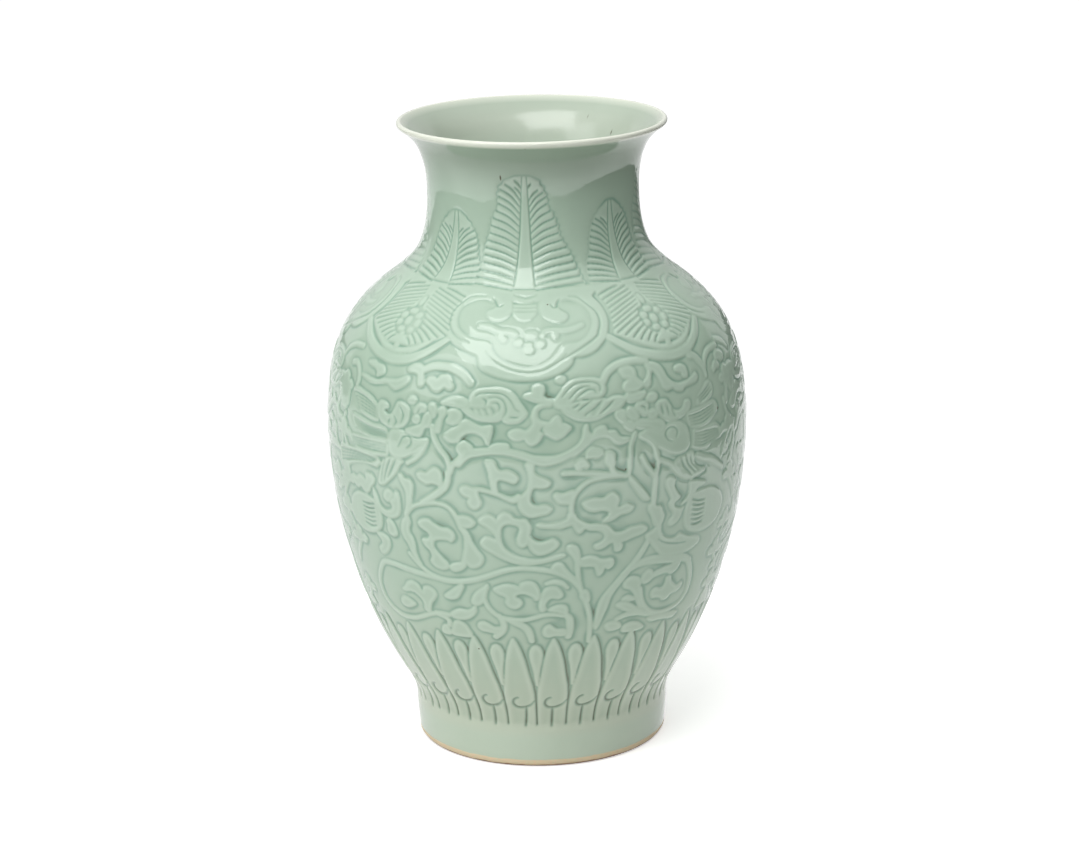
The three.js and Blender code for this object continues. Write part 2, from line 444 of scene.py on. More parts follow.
FAN_MIDDLE_FIELD = [
    (-1.6, 285.6), (-2, 278.6), (-4.8, 276), (-6.2, 271.6), (-6.2, 266), (-4.6, 262), (-2.4, 259.6),
    (2.4, 259.8), (4.6, 262), (6.4, 266), (6.2, 271), (4.8, 276), (2, 278.6), (1.4, 285.6),
]
FAN_KNOBS = [
    (-3.9, 271.6, 2.2, 1.9), (-0.8, 275, 2.7, 1.6), (2.9, 272.8, 2.1, 1.8), (3.9, 268, 1.8, 2.4),
    (2.5, 263.4, 2.0, 1.8), (-1.6, 263, 2.3, 1.6), (-4.2, 266.8, 1.9, 1.8), (-0.5, 268.6, 2.1, 2.6),
]


def ruyi(carving, middle):
    carving.patch(moved(RUYI_OUTLINE, middle), curved=True)
    carving.hollow(moved(RUYI_RIM, middle), 0.62)
    carving.ridge((0.7, 0.95, 0.7), moved(RUYI_RIM, middle))
    # fine lines follow the rim outside, over both cheeks and round the lobe below
    cheeks = [(x * 1.075, s - 1.5 if s < 286 else s + 1.3) for x, s in RUYI_RIM[1:-1] if not 247 < s < 261.4]
    for side in (-1, 1):
        carving.line((0.4, 0.75, 0.4), moved([p for p in cheeks if side * p[0] > 5], middle), 0.6)
    lobe = [(x * 1.12 + 0.1, s - 1.2) for x, s in RUYI_RIM[11:20]]
    carving.line((0.4, 0.7, 0.4), moved(lobe, middle), 0.5)
    for curl, cut in zip(RUYI_CURLS, RUYI_CURL_LINES):
        carving.patch(moved(curl, middle), curved=True)
        carving.line((0.4, 0.7, 0.5), moved(cut, middle), 0.65)
    carving.patch(both_sides(FINIAL_SIDE, middle))
    carving.patch(both_sides(FINIAL_FOOT_SIDE, middle))
    for half, s, dip in FINIAL_LINES:
        carving.line((0.3, 0.5, 0.3), moved([(-half, s), (0, s - dip), (half, s)], middle), 0.45)
    for row in RUYI_TENDRILS:
        carving.ridge(row[:3], pairs(row[3:]) + [middle - RUYI_MIDDLE, 0])
    for x, s, width, height in RUYI_KNOBS:
        knob(carving, middle + x, s, width, height)


def fan(carving, middle):
    carving.patch(both_sides(FAN_SIDE[::-1], middle))
    for side in (-1, 1):
        for x0, s0, x1, s1 in FAN_VEINS:
            halfway = ((x0 + x1) / 2, (s0 + s1) / 2 + 0.5)
            vein = [(middle + side * x, s) for x, s in ((x0, s0), halfway, (x1, s1))]
            carving.line((0.6, 0.62, 0.5), vein, 0.7)
    carving.ridge((1.8, 2.6, 1.8), moved(FAN_GARLAND, middle))
    carving.ridge((1.2, 1.6, 1.2), moved(FAN_INNER_GARLAND, middle))
    carving.hollow(moved(FAN_MIDDLE_FIELD, middle), 0.8)
    for x, s, width, height in FAN_KNOBS:
        knob(carving, middle + x, s, width, height)
    carving.ridge((1.3, 1.7, 1.3), moved([(-0.3, 284.4), (-0.3, 280.6)], middle))
    carving.ridge((1.5, 1.8, 1.6), moved([(-0.1, 260.2), (-0.1, 253.4)], middle))


# Plantain leaves standing on the root of the neck: for the left and the right half, climb and half width
TALL_LEAF_MIDDLE = -4.4
SHORT_LEAF_MIDDLE = 45
TALL_LEAF = (
    ([297, 305, 311, 318, 325, 332, 337.5, 341, 347, 352, 355.5, 357.2],
     [23.1, 23.4, 21.1, 21, 19.2, 18.2, 16, 14, 14, 12.6, 9.1, 5.1]),
    ([297, 305, 311, 315, 320, 325, 330, 337, 341, 346, 351, 355.5, 357.2],
     [26.8, 25.6, 23.8, 22.8, 20.4, 17.8, 17, 14.4, 11.8, 11.2, 9.4, 6.4, 3.4]),
)
SHORT_HALF = (
    [297, 306, 311, 316, 322, 330, 334, 337.5, 339.8],
    [20.2, 19, 17.8, 15.6, 14.6, 12.6, 9.8, 6, 2.8],
)
LOWER_HALF = (
    [297, 304, 309, 314, 320, 326, 330, 333, 335.6],
    [20.2, 19, 17.4, 15.6, 14.4, 12.6, 9.8, 6.4, 3],
)
SHORT_LEAVES = ((SHORT_HALF, SHORT_HALF), (LOWER_HALF, LOWER_HALF))
LEAF_FOOT = 297
TALL_LEAF_STEP = 3.5
SHORT_LEAF_STEP = 2.9
# The edge is worn into small steps, one for each vein
WORN_EDGE = 0.45
# Half width of the midrib, by the share of the way from the foot to the tip
RIB_AT = (0, 0.35, 0.7, 1)
RIB_HALF = (4.9, 3.2, 2.2, 1.2)
# A vein starts this far from the midrib, and rises more the higher up it stands; a short one rises less
VEIN_GAP = 0.3
VEIN_RISE = 3.6
VEIN_RISES_MORE = 8
SHORTEST_VEIN = 1.5
LONG_VEIN = 9


def leaf_edge(middle, side, levels, half, step):
    tip = levels[-1]
    edge = []
    for s in np.arange(LEAF_FOOT, tip - 2.5, step):
        above = s + 0.55 * step
        edge.append((middle + side * (np.interp(s, levels, half) - WORN_EDGE), s))
        edge.append((middle + side * (np.interp(above, levels, half) + WORN_EDGE), above))
    edge.append((middle + side * half[-1], tip))
    edge.append((middle + side * 0.4 * half[-1], tip + 0.4))
    return edge


def leaf_veins(carving, middle, side, levels, half, step):
    """The edge of the midrib, and the veins that run from it to the edge of the leaf."""
    tip = levels[-1]

    def rib(s):
        return np.interp((s - LEAF_FOOT) / (tip - LEAF_FOOT), RIB_AT, RIB_HALF)

    midrib = [(middle + side * rib(s), s) for s in np.linspace(LEAF_FOOT + 1, tip, 8)]
    carving.line((0.5, 0.5, 0.4), midrib, 0.55)
    for s in np.arange(LEAF_FOOT - 1.5, tip - 3, step):
        near = rib(s) + VEIN_GAP
        rise = VEIN_RISE + VEIN_RISES_MORE * (s - LEAF_FOOT) / (tip - LEAF_FOOT)
        far = np.interp(min(s + rise, tip), levels, half)
        if far - near > SHORTEST_VEIN:
            rise *= min(1, (far - near) / LONG_VEIN)
            vein = [(near, 0), (near + 0.45 * (far - near), rise * 0.62), (far - 0.2, rise)]
            carving.line((0.45, 0.65, 0.55), [(middle + side * x, s + y) for x, y in vein], 0.7)


def plantain_leaf(carving, middle, halves, step):
    (left_levels, left_half), (right_levels, right_half) = halves
    leaf_veins(carving, middle, -1, left_levels, left_half, step)
    leaf_veins(carving, middle, 1, right_levels, right_half, step)
    left_edge = leaf_edge(middle, -1, left_levels, left_half, step)
    right_edge = leaf_edge(middle, 1, right_levels, right_half, step)
    carving.patch(left_edge + right_edge[::-1])
    left, right = left_half[0], right_half[0]
    foot = [(-left, 298.6), (-0.6 * left, 297.2), (0, 296.3), (0.6 * right, 297), (right, 298)]
    carving.line((0.3, 0.5, 0.3), moved(foot, middle), 0.5)


# The scroll of flowers round the body. Strokes are three half widths, at the start, the middle and the end,
# then turn and climb in pairs.
STEMS = [
    # trunk, its left arm and its leaf, and the wave that runs off to the left
    (1.0, 1.0, 1.0, 15.3, 88, 15.2, 98, 14.8, 105, 14, 111, 13.1, 116, 12.5, 119.6, 11.6, 123, 10.9, 129,
     10.6, 135, 10.4, 141, 9.8, 146),
    (0.9, 1.2, 0.9, 11.4, 123.6, 9.8, 127.4, 7.8, 130.8, 5.4, 133.4, 2, 135.6, -2, 136.9, -6, 137,
     -10, 135.2, -14, 132, -18, 129, -22, 127, -26.5, 126.2, -31, 127.1, -36, 127.8, -42, 128.9, -46, 129.6,
     -50.5, 128.6, -53.5, 122, -55.3, 115, -55.5, 108, -54.3, 102.5, -51.5, 98.3, -47.5, 95.9, -43, 96.6,
     -39.5, 98.8, -35.6, 102, -32, 103.9, -28.4, 103.8),
    # coil in the middle: its rim, and the strokes that hang from it
    (0.9, 0.8, 0.8, -15.4, 124, -16.2, 118, -15.6, 113, -14.2, 109, -12.2, 106, -9, 104.6, -5, 104.2,
     -2, 105.6, 1, 107.4, 4, 107.6, 6.6, 106.6),
    (0.8, 1.8, 1.1, -10.6, 105, -8, 102.8, -5.6, 100.6, -4, 97.8, -3.2, 94, -2.8, 90),
    (1.0, 1.5, 1.3, -12.4, 106.6, -11.3, 103, -11.2, 99, -12.2, 95.4, -14, 92.4),
    (1.4, 1.7, 1.4, 7.6, 107, 8.7, 104.6, 9, 101, 9, 97, 8.6, 92.6),
    (0.5, 1.1, 0.5, 1.8, 127.4, 4, 128.4, 6.2, 127.4, 7.8, 124.6),
    (1.2, 1.2, 1.2, -33, 103.6, -30.6, 102.4, -29, 100, -29.2, 97),
    # arch over the middle
    (1.1, 1.2, 1.0, -23.4, 190, -22.8, 193.4, -21.2, 197.4),
    (0.9, 1.1, 1.2, -28.8, 214, -28, 208, -26.3, 202.5, -24.3, 197.5, -23.5, 192, -24, 187),
    (1.3, 1.9, 0.9, -24, 190, -24.2, 186, -25.2, 181.6, -27.4, 177.6, -30, 174, -32.4, 171.2),
    # ring on the left
    (0.8, 0.9, 1.4, -37.9, 162, -36.4, 166, -34.4, 168.8, -31, 171, -28, 172, -25.2, 171.2, -23.4, 168.6,
     -22.2, 165, -21.2, 160.6),
    (0.8, 0.8, 0.8, -38.6, 139, -37, 135.6, -35, 132, -32.6, 129, -30, 127.4),
    # ring right of the middle, and the twigs that cross it
    (1.0, 1.1, 1.0, 24, 186.8, 20, 187.2, 15.4, 186.8, 12.6, 185, 10.6, 181.6, 9.2, 177.4, 8.7, 172.6,
     8.8, 168, 9.4, 165),
    (1.2, 1.3, 1.0, 6.8, 191, 10, 190.9, 14, 190, 18, 188.8, 22, 187.4),
    (1.4, 1.4, 1.0, 19.4, 197, 19.6, 192, 20.6, 188.8, 23.4, 186.6),
    (0.8, 0.9, 0.9, 26.5, 209, 25.3, 204, 24.9, 198, 24.6, 191, 24.3, 187),
    (0.9, 1.2, 1.0, 28.4, 196, 29.6, 191, 31, 187, 32, 184),
    (0.7, 0.8, 0.8, 33.3, 196, 33.2, 190, 32.7, 185),
    (1.2, 1.2, 1.1, 32.4, 186, 32.4, 180, 32.2, 173, 32, 167),
    # ring low on the right
    (1.0, 2.3, 1.6, 25.4, 130.4, 28.4, 133.6, 32, 134.6, 36.5, 133.8, 41, 132, 45, 130.8, 48, 127.6),
    (1.0, 1.5, 1.0, 45.4, 131.4, 48, 126.4, 49.6, 120, 50.4, 113, 50, 106, 48, 101.6),
    (1.0, 1.0, 0.9, 50, 106, 48, 101.6, 44.6, 99.4, 40.6, 98.7, 37, 100, 34.4, 102.8, 32.4, 107, 31.2, 112,
     30.4, 118),
    (0.9, 1.4, 1.0, 23.6, 100.6, 27, 102.6, 31, 102.4, 34, 100.6, 38, 98.6),
]
LEAVES = [
    (1.5, 2.1, 1.5, 10.4, 193, 11.6, 195.6, 13.2, 194.6),
    (1.4, 2.2, 1.2, 13, 199.4, 15, 201.2, 17, 201.4),
    (1.2, 2.3, 1.6, 18.2, 200.6, 19.3, 196, 19.8, 193),
    (1.6, 2.4, 1.6, -20.4, 201, -19.4, 204.2, -17.4, 204.4),
    (1.2, 2.4, 1.5, -61, 173.4, -57, 173.6, -53, 173, -50.6, 176.6, -50.6, 180),
    (1.2, 1.5, 1.2, -63, 176, -62, 182, -58, 186.4, -53, 188, -48, 187),
    (1.0, 1.2, 1.1, 18.6, 238, 20.5, 243, 24, 246.3, 28.6, 247.3, 33, 246),
    (1.2, 1.6, 1.2, -33.2, 243.4, -30, 245.9, -25, 246, -21, 243, -18.4, 238.6),
    (1.8, 2.5, 1.8, -31.8, 237.6, -28.9, 236.6, -26, 237.6, -23.6, 235.6),
]
BLOOMS_AND_CLOUDS = [
    (1.4, 1.9, 1.4, 6.1, 240.8, 7.4, 240.8),
    # under the collar, right
    (1.8, 1.7, 0.8, 49.2, 243.4, 51.2, 242.2, 52.8, 238.6, 54, 234, 54.3, 229.8),
    (0.9, 1.3, 1.4, 54.5, 234.2, 55.4, 238, 57, 240.7, 59.5, 242.6, 64, 243),
    (1.4, 1.9, 1.4, 58.6, 231.6, 60.2, 233.4, 61.6, 232.4), (1.6, 2.6, 1.6, 59.6, 187.6, 61.8, 187),
    # lines of the calyx under each bloom
    (1.1, 1.2, 1.0, 28.2, 207.3, 30.3, 204.7, 32.2, 200.9, 32.8, 196.7, 33.2, 192.8, 35.3, 190.6,
     37.4, 188.4, 38.6, 185.2, 40.2, 181.8, 43.4, 178.6, 47, 178.9, 50, 180.2),
    (1.5, 1.7, 1.2, 47.4, 189, 50.3, 186.2, 52.8, 184.6, 55.3, 182, 57.8, 178.8, 59.5, 176.6),
    (1.1, 1.3, 1.0, -30.4, 205.6, -31.8, 200, -33.8, 195.4, -36.4, 192),
    (1.1, 1.3, 1.1, -63.6, 237.2, -61.4, 237.8, -59.9, 236, -58.7, 233, -58.3, 229.3, -58.6, 226.8),
    (1.5, 2.5, 1.6, -52.2, 179, -51.4, 176.6),
]
# Raised parts with closed outlines, turn and climb in pairs
PLATES = [
    # right arm of the trunk, leaf knot on the trunk, and the leaves at the two forks
    (16.4, 98, 16.7, 104, 17.1, 110, 18, 115.5, 19.6, 120, 21.6, 124.4, 23.6, 129, 26, 134, 28.2, 139.5,
     30, 145, 31.2, 149.4, 32, 148.8, 31, 144, 29.4, 138.6, 27.4, 133.2, 25.2, 127.6, 23.2, 123,
     21.8, 119.4, 20.7, 115, 20, 109.6, 19, 104.4, 18, 99, 17.2, 96),
    (12, 117, 11.6, 119.8, 12.4, 122, 13.6, 121.4, 14.2, 118.6, 14.3, 115, 13.4, 114.4),
    (3.2, 136.4, 3.8, 138.6, 5, 139.9, 6.2, 139, 7, 136.6, 8.2, 133.6, 9.8, 130.4, 11, 127.4, 10, 126.6,
     8, 129.4, 5.6, 132.4, 3.8, 134.4),
    (7.5, 148.6, 8.4, 150.2, 9.6, 149.6, 10.5, 147.4, 11, 144, 11.2, 139.6, 10.6, 136, 10, 139.6,
     9.2, 143.2, 8, 146),
    (11, 138, 11.2, 141, 13, 142.4, 15.2, 142, 17, 140.2, 18.6, 139.9, 20.2, 139.8, 20.9, 137.4, 20.4, 135,
     19.2, 134, 18.4, 135, 17.6, 131.6, 16.6, 130.6, 16, 133, 15.4, 136, 14, 136.8, 12.4, 136.9),
    # coil in the middle
    (-13.2, 123.4, -11.6, 125.5, -9.4, 126.8, -7, 126.2, -5.9, 125.2, -5.2, 127.6, -3.6, 128.7, -1.8, 128.2,
     -0.6, 125.4, -0.1, 122, -0.1, 118.6, -1.2, 117.2, -2, 119.4, -3.6, 121, -5.2, 121.5, -6.7, 120.7,
     -7, 118.8, -5.8, 117.6, -5.3, 115.2, -6, 113, -7.4, 111.9, -9, 112.9, -9.9, 115.4, -9.6, 117.8,
     -10.2, 119.6, -11.8, 120.8),
    (0.6, 121, 1.4, 124, 3, 125.5, 4.8, 125, 5.9, 122.6, 6.5, 119.6, 5.4, 118.1, 3.4, 118.5, 2.2, 117,
     1.4, 114, 1.6, 111, 0.4, 110, -0.2, 113, 0.1, 117.6),
    (2.4, 110.4, 3.4, 112.3, 5.4, 113.5, 7.4, 112.9, 8, 110, 7.8, 107.4, 6.4, 108.2, 4.6, 109.5),
    (0.8, 97, 1.4, 99.6, 2.8, 100.7, 4, 98.8, 5.2, 97.6, 7.4, 97.4, 8.4, 95, 7, 93.4, 4.6, 93.6, 2.4, 92.8,
     1, 94.2),
    (-19.3, 98.6, -18.8, 101, -17.2, 101.8, -15.6, 100.4, -14.2, 98.8, -12, 98.8, -11.6, 96, -13.4, 94.6,
     -16, 95.4, -18.4, 96.2),
    # leaves left of the coil
    (-20.1, 113.8, -19.8, 116.8, -19, 119.6, -17.6, 122.2, -15.8, 124.8, -15, 126.2, -14.8, 124, -15.6, 121,
     -16.2, 117.8, -16.6, 115.4, -17.8, 113.2, -19.2, 112.7),
    (-28.8, 116, -27.7, 118.2, -26, 120.6, -24.4, 123, -22.9, 125, -22.2, 124, -22.8, 121.4, -23.7, 118.4,
     -24.8, 115.9, -26.6, 114.7, -28, 114.9),
    (-28, 104.6, -26.6, 106.8, -24.4, 108.6, -22, 108.4, -20.4, 109.8, -19.4, 111.6, -19.3, 108.6,
     -20.4, 105.6, -22.4, 103, -24.8, 102.1, -27, 102.5),
    (-44.6, 114.4, -43.2, 116.8, -41.8, 120, -39.6, 121.4, -37.8, 120.1, -37, 117.4, -36.4, 116.4,
     -35.8, 119.2, -34, 120.3, -32.3, 118.9, -31.7, 116, -32.6, 113, -34, 110, -34.8, 106.4, -35.2, 103.6,
     -37, 104.4, -36.8, 108, -37.4, 111.2, -39, 113.5, -41, 114.7, -43, 114.3),
    (-46.6, 105, -46.2, 107.8, -44.8, 109.8, -43, 109.4, -41.4, 108, -40.6, 106.6, -42, 104.8, -44, 103.3,
     -45.6, 103.5),
    (-28.8, 91, -28.2, 96, -27.2, 99.7, -25.8, 100.7, -24, 99.5, -22.8, 96.4, -22.2, 91),
    (-32.2, 91, -31.8, 95, -30.6, 96.8, -29.6, 95.4, -29.4, 91),
    # ring on the left
    (-33.9, 157.4, -33.7, 160, -32.3, 161.7, -30.6, 161.9, -29.6, 160.5, -28.4, 159.3, -26.8, 158,
     -24.8, 157.9, -23.6, 156, -23.2, 153, -24.2, 150.7, -25.4, 151.5, -27.4, 151.3, -29, 150.5, -29.8, 149,
     -29.9, 146, -29, 143, -27.6, 140, -26.3, 137.4, -26.1, 134.6, -28, 133.1, -30, 133.9, -31.4, 136.6,
     -30.8, 140, -31.2, 143.4, -32.6, 146, -33.3, 148.6, -32.7, 150.1, -31.4, 150.3, -30.8, 152, -31.2, 154,
     -32.4, 155.5),
    (-25.5, 134.4, -25, 136.4, -23.4, 137.7, -21.9, 138.6, -21.3, 141, -20.9, 144, -20.5, 147, -20.3, 151,
     -20.4, 155, -21.8, 160, -20, 158.8, -19, 155.2, -18.4, 151.8, -17.6, 149, -16.8, 146.4, -15.7, 143.6,
     -15.5, 141, -16.4, 138, -18.2, 136.3, -19.7, 136.8, -20.4, 138.8, -20.9, 136.4, -22.4, 134,
     -24.3, 132.9),
    (-22, 165.6, -20.6, 166.5, -18.8, 166.1, -17.5, 164.4, -17.1, 162.4, -18.2, 160.3, -19.8, 159.9,
     -21.4, 160.6, -22, 163),
    (-37.7, 162.6, -38.6, 160, -39.5, 158, -40.1, 155, -40.3, 151.6, -39.7, 148, -38.6, 145, -37.8, 141,
     -36.8, 137, -35.9, 134, -34.9, 133.4, -35.7, 137, -36.2, 141, -36.2, 145, -36.7, 149, -37.6, 152,
     -37.5, 155, -37, 158),
    (-39.6, 184.6, -38.5, 185.2, -37.6, 183.2, -36, 183, -35.1, 181, -35.1, 177, -35.5, 173, -35.9, 169,
     -36.8, 165, -38, 161, -38.5, 162, -37.7, 166, -37.4, 170, -37.3, 174, -38, 177.6, -39.1, 181),
    (-33.4, 187, -32.2, 188.7, -30.6, 188.3, -29.6, 190.1, -28.2, 191.9, -26.5, 190.9, -25.8, 188,
     -25.9, 184.6, -26.4, 181.5, -27.4, 182.3, -29, 182.7, -30.4, 181.9, -31.6, 182.7, -33, 184.6),
    (-43.6, 168, -42, 170, -41.4, 173.6, -40.4, 174, -39.8, 168, -40.3, 162, -41.8, 159.3, -44, 158.1,
     -46.6, 158.9, -48.4, 161, -49.7, 164.6, -50.2, 168, -50.1, 172.6, -48.8, 169, -48, 165, -46.4, 162.5,
     -44.6, 162.1, -42.9, 163.7, -43, 166),
    (-45.7, 170, -45.1, 173, -43.8, 174.7, -42.5, 173.6, -42.3, 171, -43.3, 168.8, -44.2, 167.3,
     -45.5, 168.3),
    (-45.7, 155.6, -44.6, 157.2, -43.3, 155, -42.5, 152, -42.3, 149, -43.4, 147.5, -44.9, 147.9, -45.7, 150,
     -45.5, 153),
    (-51, 146, -48.4, 146.8, -46.4, 145.2, -45.8, 142.4, -46.3, 139.4, -47.8, 136, -50, 134, -51, 137,
     -49, 140.6, -49.6, 143.4),
    # between the rings
    (-3, 197, -2.4, 192, -2.2, 187.6, -2.6, 184, -3.6, 181, -4.8, 178.6, -5.3, 176, -5.1, 173, -4.5, 170.3,
     -3.4, 168.1, -1.8, 167.1, 0.4, 167.9, 2.4, 168.9, 3.4, 170.8, 3.1, 173, 1.6, 174, -0.2, 173.5,
     -1.6, 174.5, -2.2, 177, -1.9, 180.4, -1.1, 183.5, 0.6, 183.2, 2.6, 183.9, 3.2, 186.4, 2.1, 188.5,
     0.2, 190.1, -1, 192.4, -1.2, 197),
    (-4.4, 177.4, -6.4, 175.2, -8.6, 176.8, -10.4, 178.6, -12.4, 179.8, -14.6, 180.8, -16, 180.6,
     -15.5, 177, -15.1, 174.4, -15.7, 171.9, -17, 170.7, -18.3, 172, -18.7, 174.6, -18.2, 176.7,
     -19.7, 177.6, -20.7, 180, -20.5, 182.5, -19, 183.8, -17.4, 182.7, -15.6, 183, -13.6, 182.4,
     -11.8, 181.4, -10, 180.4, -8.2, 178.8, -6.6, 178.4, -5, 180),
    (-13.6, 198, -12.9, 192, -12.4, 186, -11.9, 181, -10.6, 180.4, -10.8, 184, -10.6, 187.2, -9.4, 187.8,
     -7.6, 186.8, -6.2, 186, -5.2, 187.8, -5.3, 190.2, -6.4, 192.2, -8, 193.4, -9.6, 192.8, -10.6, 194.6,
     -11.4, 198),
    (4.1, 178, 4.5, 180.3, 6.4, 179.9, 8, 180.8, 9.4, 181.2, 9.2, 176, 8.8, 173.7, 7.4, 173.9, 5.6, 174.3,
     4.7, 176),
    (8, 168, 7.6, 165.6, 5.6, 164, 3.6, 163.3, 1.8, 163.1, 0.4, 163.7, -0.5, 162.6, 0.4, 161.3, 2.4, 160.7,
     4.4, 160.4, 6, 160.3, 8, 161.5, 9, 161.7, 9.8, 159, 10.8, 156.8, 11.7, 157.9, 12.3, 159.4, 13.6, 158.3,
     15.4, 157.9, 16.8, 157, 17.8, 155.2, 18, 153.2, 17.6, 151.2, 16.4, 150, 15.1, 148.9, 15.3, 147.2,
     16.4, 146.5, 18, 147.5, 19.2, 149.1, 20.4, 149.3, 20.9, 146.6, 21.2, 144.2, 22.6, 144.4, 23.1, 147,
     22.6, 149, 24, 149.6, 26.4, 151, 28.6, 152, 30.3, 153.6, 30.1, 155.5, 28.6, 157.1, 26.6, 156.9,
     25, 156.6, 23, 155, 21, 155.1, 20, 156.6, 19, 159, 17.6, 160.4, 15.4, 161.2, 13.4, 161.6, 11.6, 163.5,
     10, 165.8, 9.6, 168),
    (-16, 163.8, -15, 166.5, -13.4, 168.1, -12, 167, -11.2, 165, -10.4, 167.5, -9, 169.7, -7.3, 168.5,
     -6.7, 166.8, -5, 165.9, -3.6, 166.1, -2.5, 163.6, -2.1, 160.4, -2.5, 157, -2.7, 154, -3.2, 151.5,
     -4.4, 149.9, -5.5, 151.3, -5.7, 154, -5.3, 157, -4.9, 160, -5.4, 162, -7, 163.1, -8.6, 163.1,
     -9.8, 161.3, -10.3, 158, -10.3, 154, -9.7, 150, -8.5, 147.4, -6.8, 145.1, -4.8, 143.4, -2, 142.4,
     0.6, 142.6, 3.2, 143.8, 6, 144.9, 7, 144, 4, 142, 0.6, 140.3, -3, 139.4, -6.6, 140.2, -10, 142.8,
     -13.2, 146.4, -15.5, 149.6, -15.6, 152.4, -14.2, 155.1, -12.6, 154.6, -11.6, 153.4, -11.6, 156.4,
     -12.7, 159, -14.2, 161.2),
    (-2.6, 156.4, -1.8, 154.4, -0.8, 153.1, 0.6, 152.5, 2.2, 153.3, 3.8, 154.3, 5, 152.4, 5.2, 150.4,
     4, 148.1, 2.4, 146.3, 0.6, 145.2, -0.8, 145.7, -1.9, 147.6, -2.6, 150, -2.9, 153),
    # inside the ring right of the middle
    (11.7, 174, 13, 175.7, 15, 176.1, 17.4, 175.7, 18.4, 177.3, 20, 178.3, 21.3, 176, 21.6, 173,
     21.1, 169.9, 22, 169.5, 23.6, 170.9, 25, 170.1, 25.9, 168.2, 25, 166.1, 23.6, 165.5, 22, 164.9,
     20.6, 163.3, 19, 162.3, 17.3, 162.3, 17.8, 164, 19, 166, 18.6, 167.9, 17, 168.9, 15, 168.5,
     13.4, 169.3, 12.1, 171.4),
    (24.5, 186.4, 25.6, 185.1, 27, 181.7, 28.6, 177.9, 30.1, 174, 30.7, 171.2, 29, 171.4, 27.3, 175,
     25.7, 179.6, 24.7, 183),
    # right of the rings
    (30.7, 168, 32.2, 168.8, 33, 166.5, 34.4, 166.1, 35.1, 163, 35.7, 160, 35.3, 156.6, 34, 153.8,
     32.7, 156, 32.1, 159, 31.5, 162, 30.7, 164.6),
    (30.3, 150.6, 31.8, 152.2, 33.4, 153.6, 34.8, 155, 35, 151, 36.2, 147.4, 38.2, 145.4, 40.4, 145.1,
     42, 146.7, 43.4, 145.5, 46, 143, 49, 141.6, 50.7, 140, 51.1, 138, 50, 136.6, 47.6, 134.7, 44, 134.1,
     40, 134.7, 36.6, 135.9, 34.9, 138.6, 33.5, 142, 31.9, 145.6, 30.7, 148),
    (35.9, 179.6, 36.5, 181.6, 38, 181.2, 39.1, 179.4, 38.7, 177, 39.2, 174, 40.2, 171, 41.2, 168.2,
     39.7, 166.9, 38.9, 165, 39.7, 163, 41.4, 161.7, 42.7, 162, 42.1, 159.6, 41.5, 157, 40.3, 154.5,
     38.6, 153.2, 37.5, 154.3, 37.9, 156.4, 38.9, 158.4, 38.7, 161, 37.7, 163.4, 37.3, 166, 37.9, 168.4,
     37.3, 171, 36.5, 174, 35.9, 177),
    (44.5, 176, 46, 175.7, 47.6, 174.9, 50, 173.5, 51.2, 172, 48, 170.9, 46.4, 168.4, 45, 166.2,
     43.6, 164.8, 41.8, 163.8, 43.3, 166.8, 44.4, 170, 44.4, 173),
    # ring low on the right
    (30.3, 123, 30.9, 126.7, 32.2, 128.8, 33.7, 127.7, 34.1, 125.9, 35.4, 126.8, 38, 128.1, 40.6, 128.5,
     42.6, 129.8, 44, 128.7, 43.8, 126, 42.6, 123.9, 41, 122.9, 39.6, 124.4, 38, 124.8, 36.4, 124.4,
     34.4, 123.4, 33, 121.4, 31.3, 120.9),
    (39.8, 121, 41.2, 120.7, 41.7, 118, 42.9, 115.7, 44.6, 113.5, 46.4, 114.9, 46.9, 112.6, 45.4, 110.5,
     43.4, 109.9, 42.4, 109.4, 41.4, 107.3, 39.6, 107.1, 38.6, 108.9, 37, 109.9, 35.4, 110.3, 34.6, 112.4,
     34.8, 114.7, 36, 115.9, 37.6, 114.9, 38.8, 115.5, 39.4, 117.4),
    (24.5, 122, 24.9, 124.5, 26.4, 126.3, 28, 126.1, 29.5, 124.6, 30.1, 122, 30.3, 118, 31, 114,
     31.9, 108.6, 33.1, 105, 31.3, 105.4, 30.2, 108, 29.4, 111.6, 28.4, 115.6, 27, 118.7, 25.4, 120.1),
    (23, 109.6, 23.9, 111.2, 25.8, 111, 27.6, 109.5, 29.4, 107.1, 31, 105.1, 33, 103.5, 31, 102.9,
     28.6, 103.9, 26.4, 105.3, 24.6, 107.3),
    (24.6, 113, 26, 114.8, 27.6, 114.2, 29.2, 111.8, 27.6, 111.4, 26, 112.1),
    (20, 97.6, 21.5, 99.2, 23.4, 99, 24.9, 97.5, 25.5, 95, 24, 93.8, 21.4, 93.9),
    (26.3, 94.6, 28.2, 96.4, 30.6, 96.2, 32.5, 94.5, 33.8, 91, 27, 91),
    (35, 97, 38, 97.4, 42, 97, 46, 96.4, 48, 94.6, 46, 92.6, 41, 94.2, 37, 94.6),
    # trefoil and its lobe over the arch
    (3.8, 228.3, 1.6, 228.5, 0.2, 227.5, -0.8, 225, -1.3, 221.6, -1, 218.4, -1.7, 216, -3, 214.2, -4.4, 215,
     -6.4, 214.6, -7.4, 212.6, -6.4, 210.2, -4.8, 209.6, -3.2, 210.6, -2.6, 208.6, -1.4, 207, -0.2, 207.8,
     0.8, 210, 1.4, 212.4, 2.4, 212.4, 3.8, 210.8, 5.2, 209.8, 6.8, 211.2, 8, 213.4, 8.9, 215.2, 7.8, 217,
     6.4, 218, 6.3, 219.8, 5.4, 221.8, 4.2, 220.4, 3.2, 218.4, 1.6, 219, 0.6, 219.8, 0, 221.8, 0.2, 224.6,
     1, 226.4, 2.4, 227.2, 3.8, 227.2),
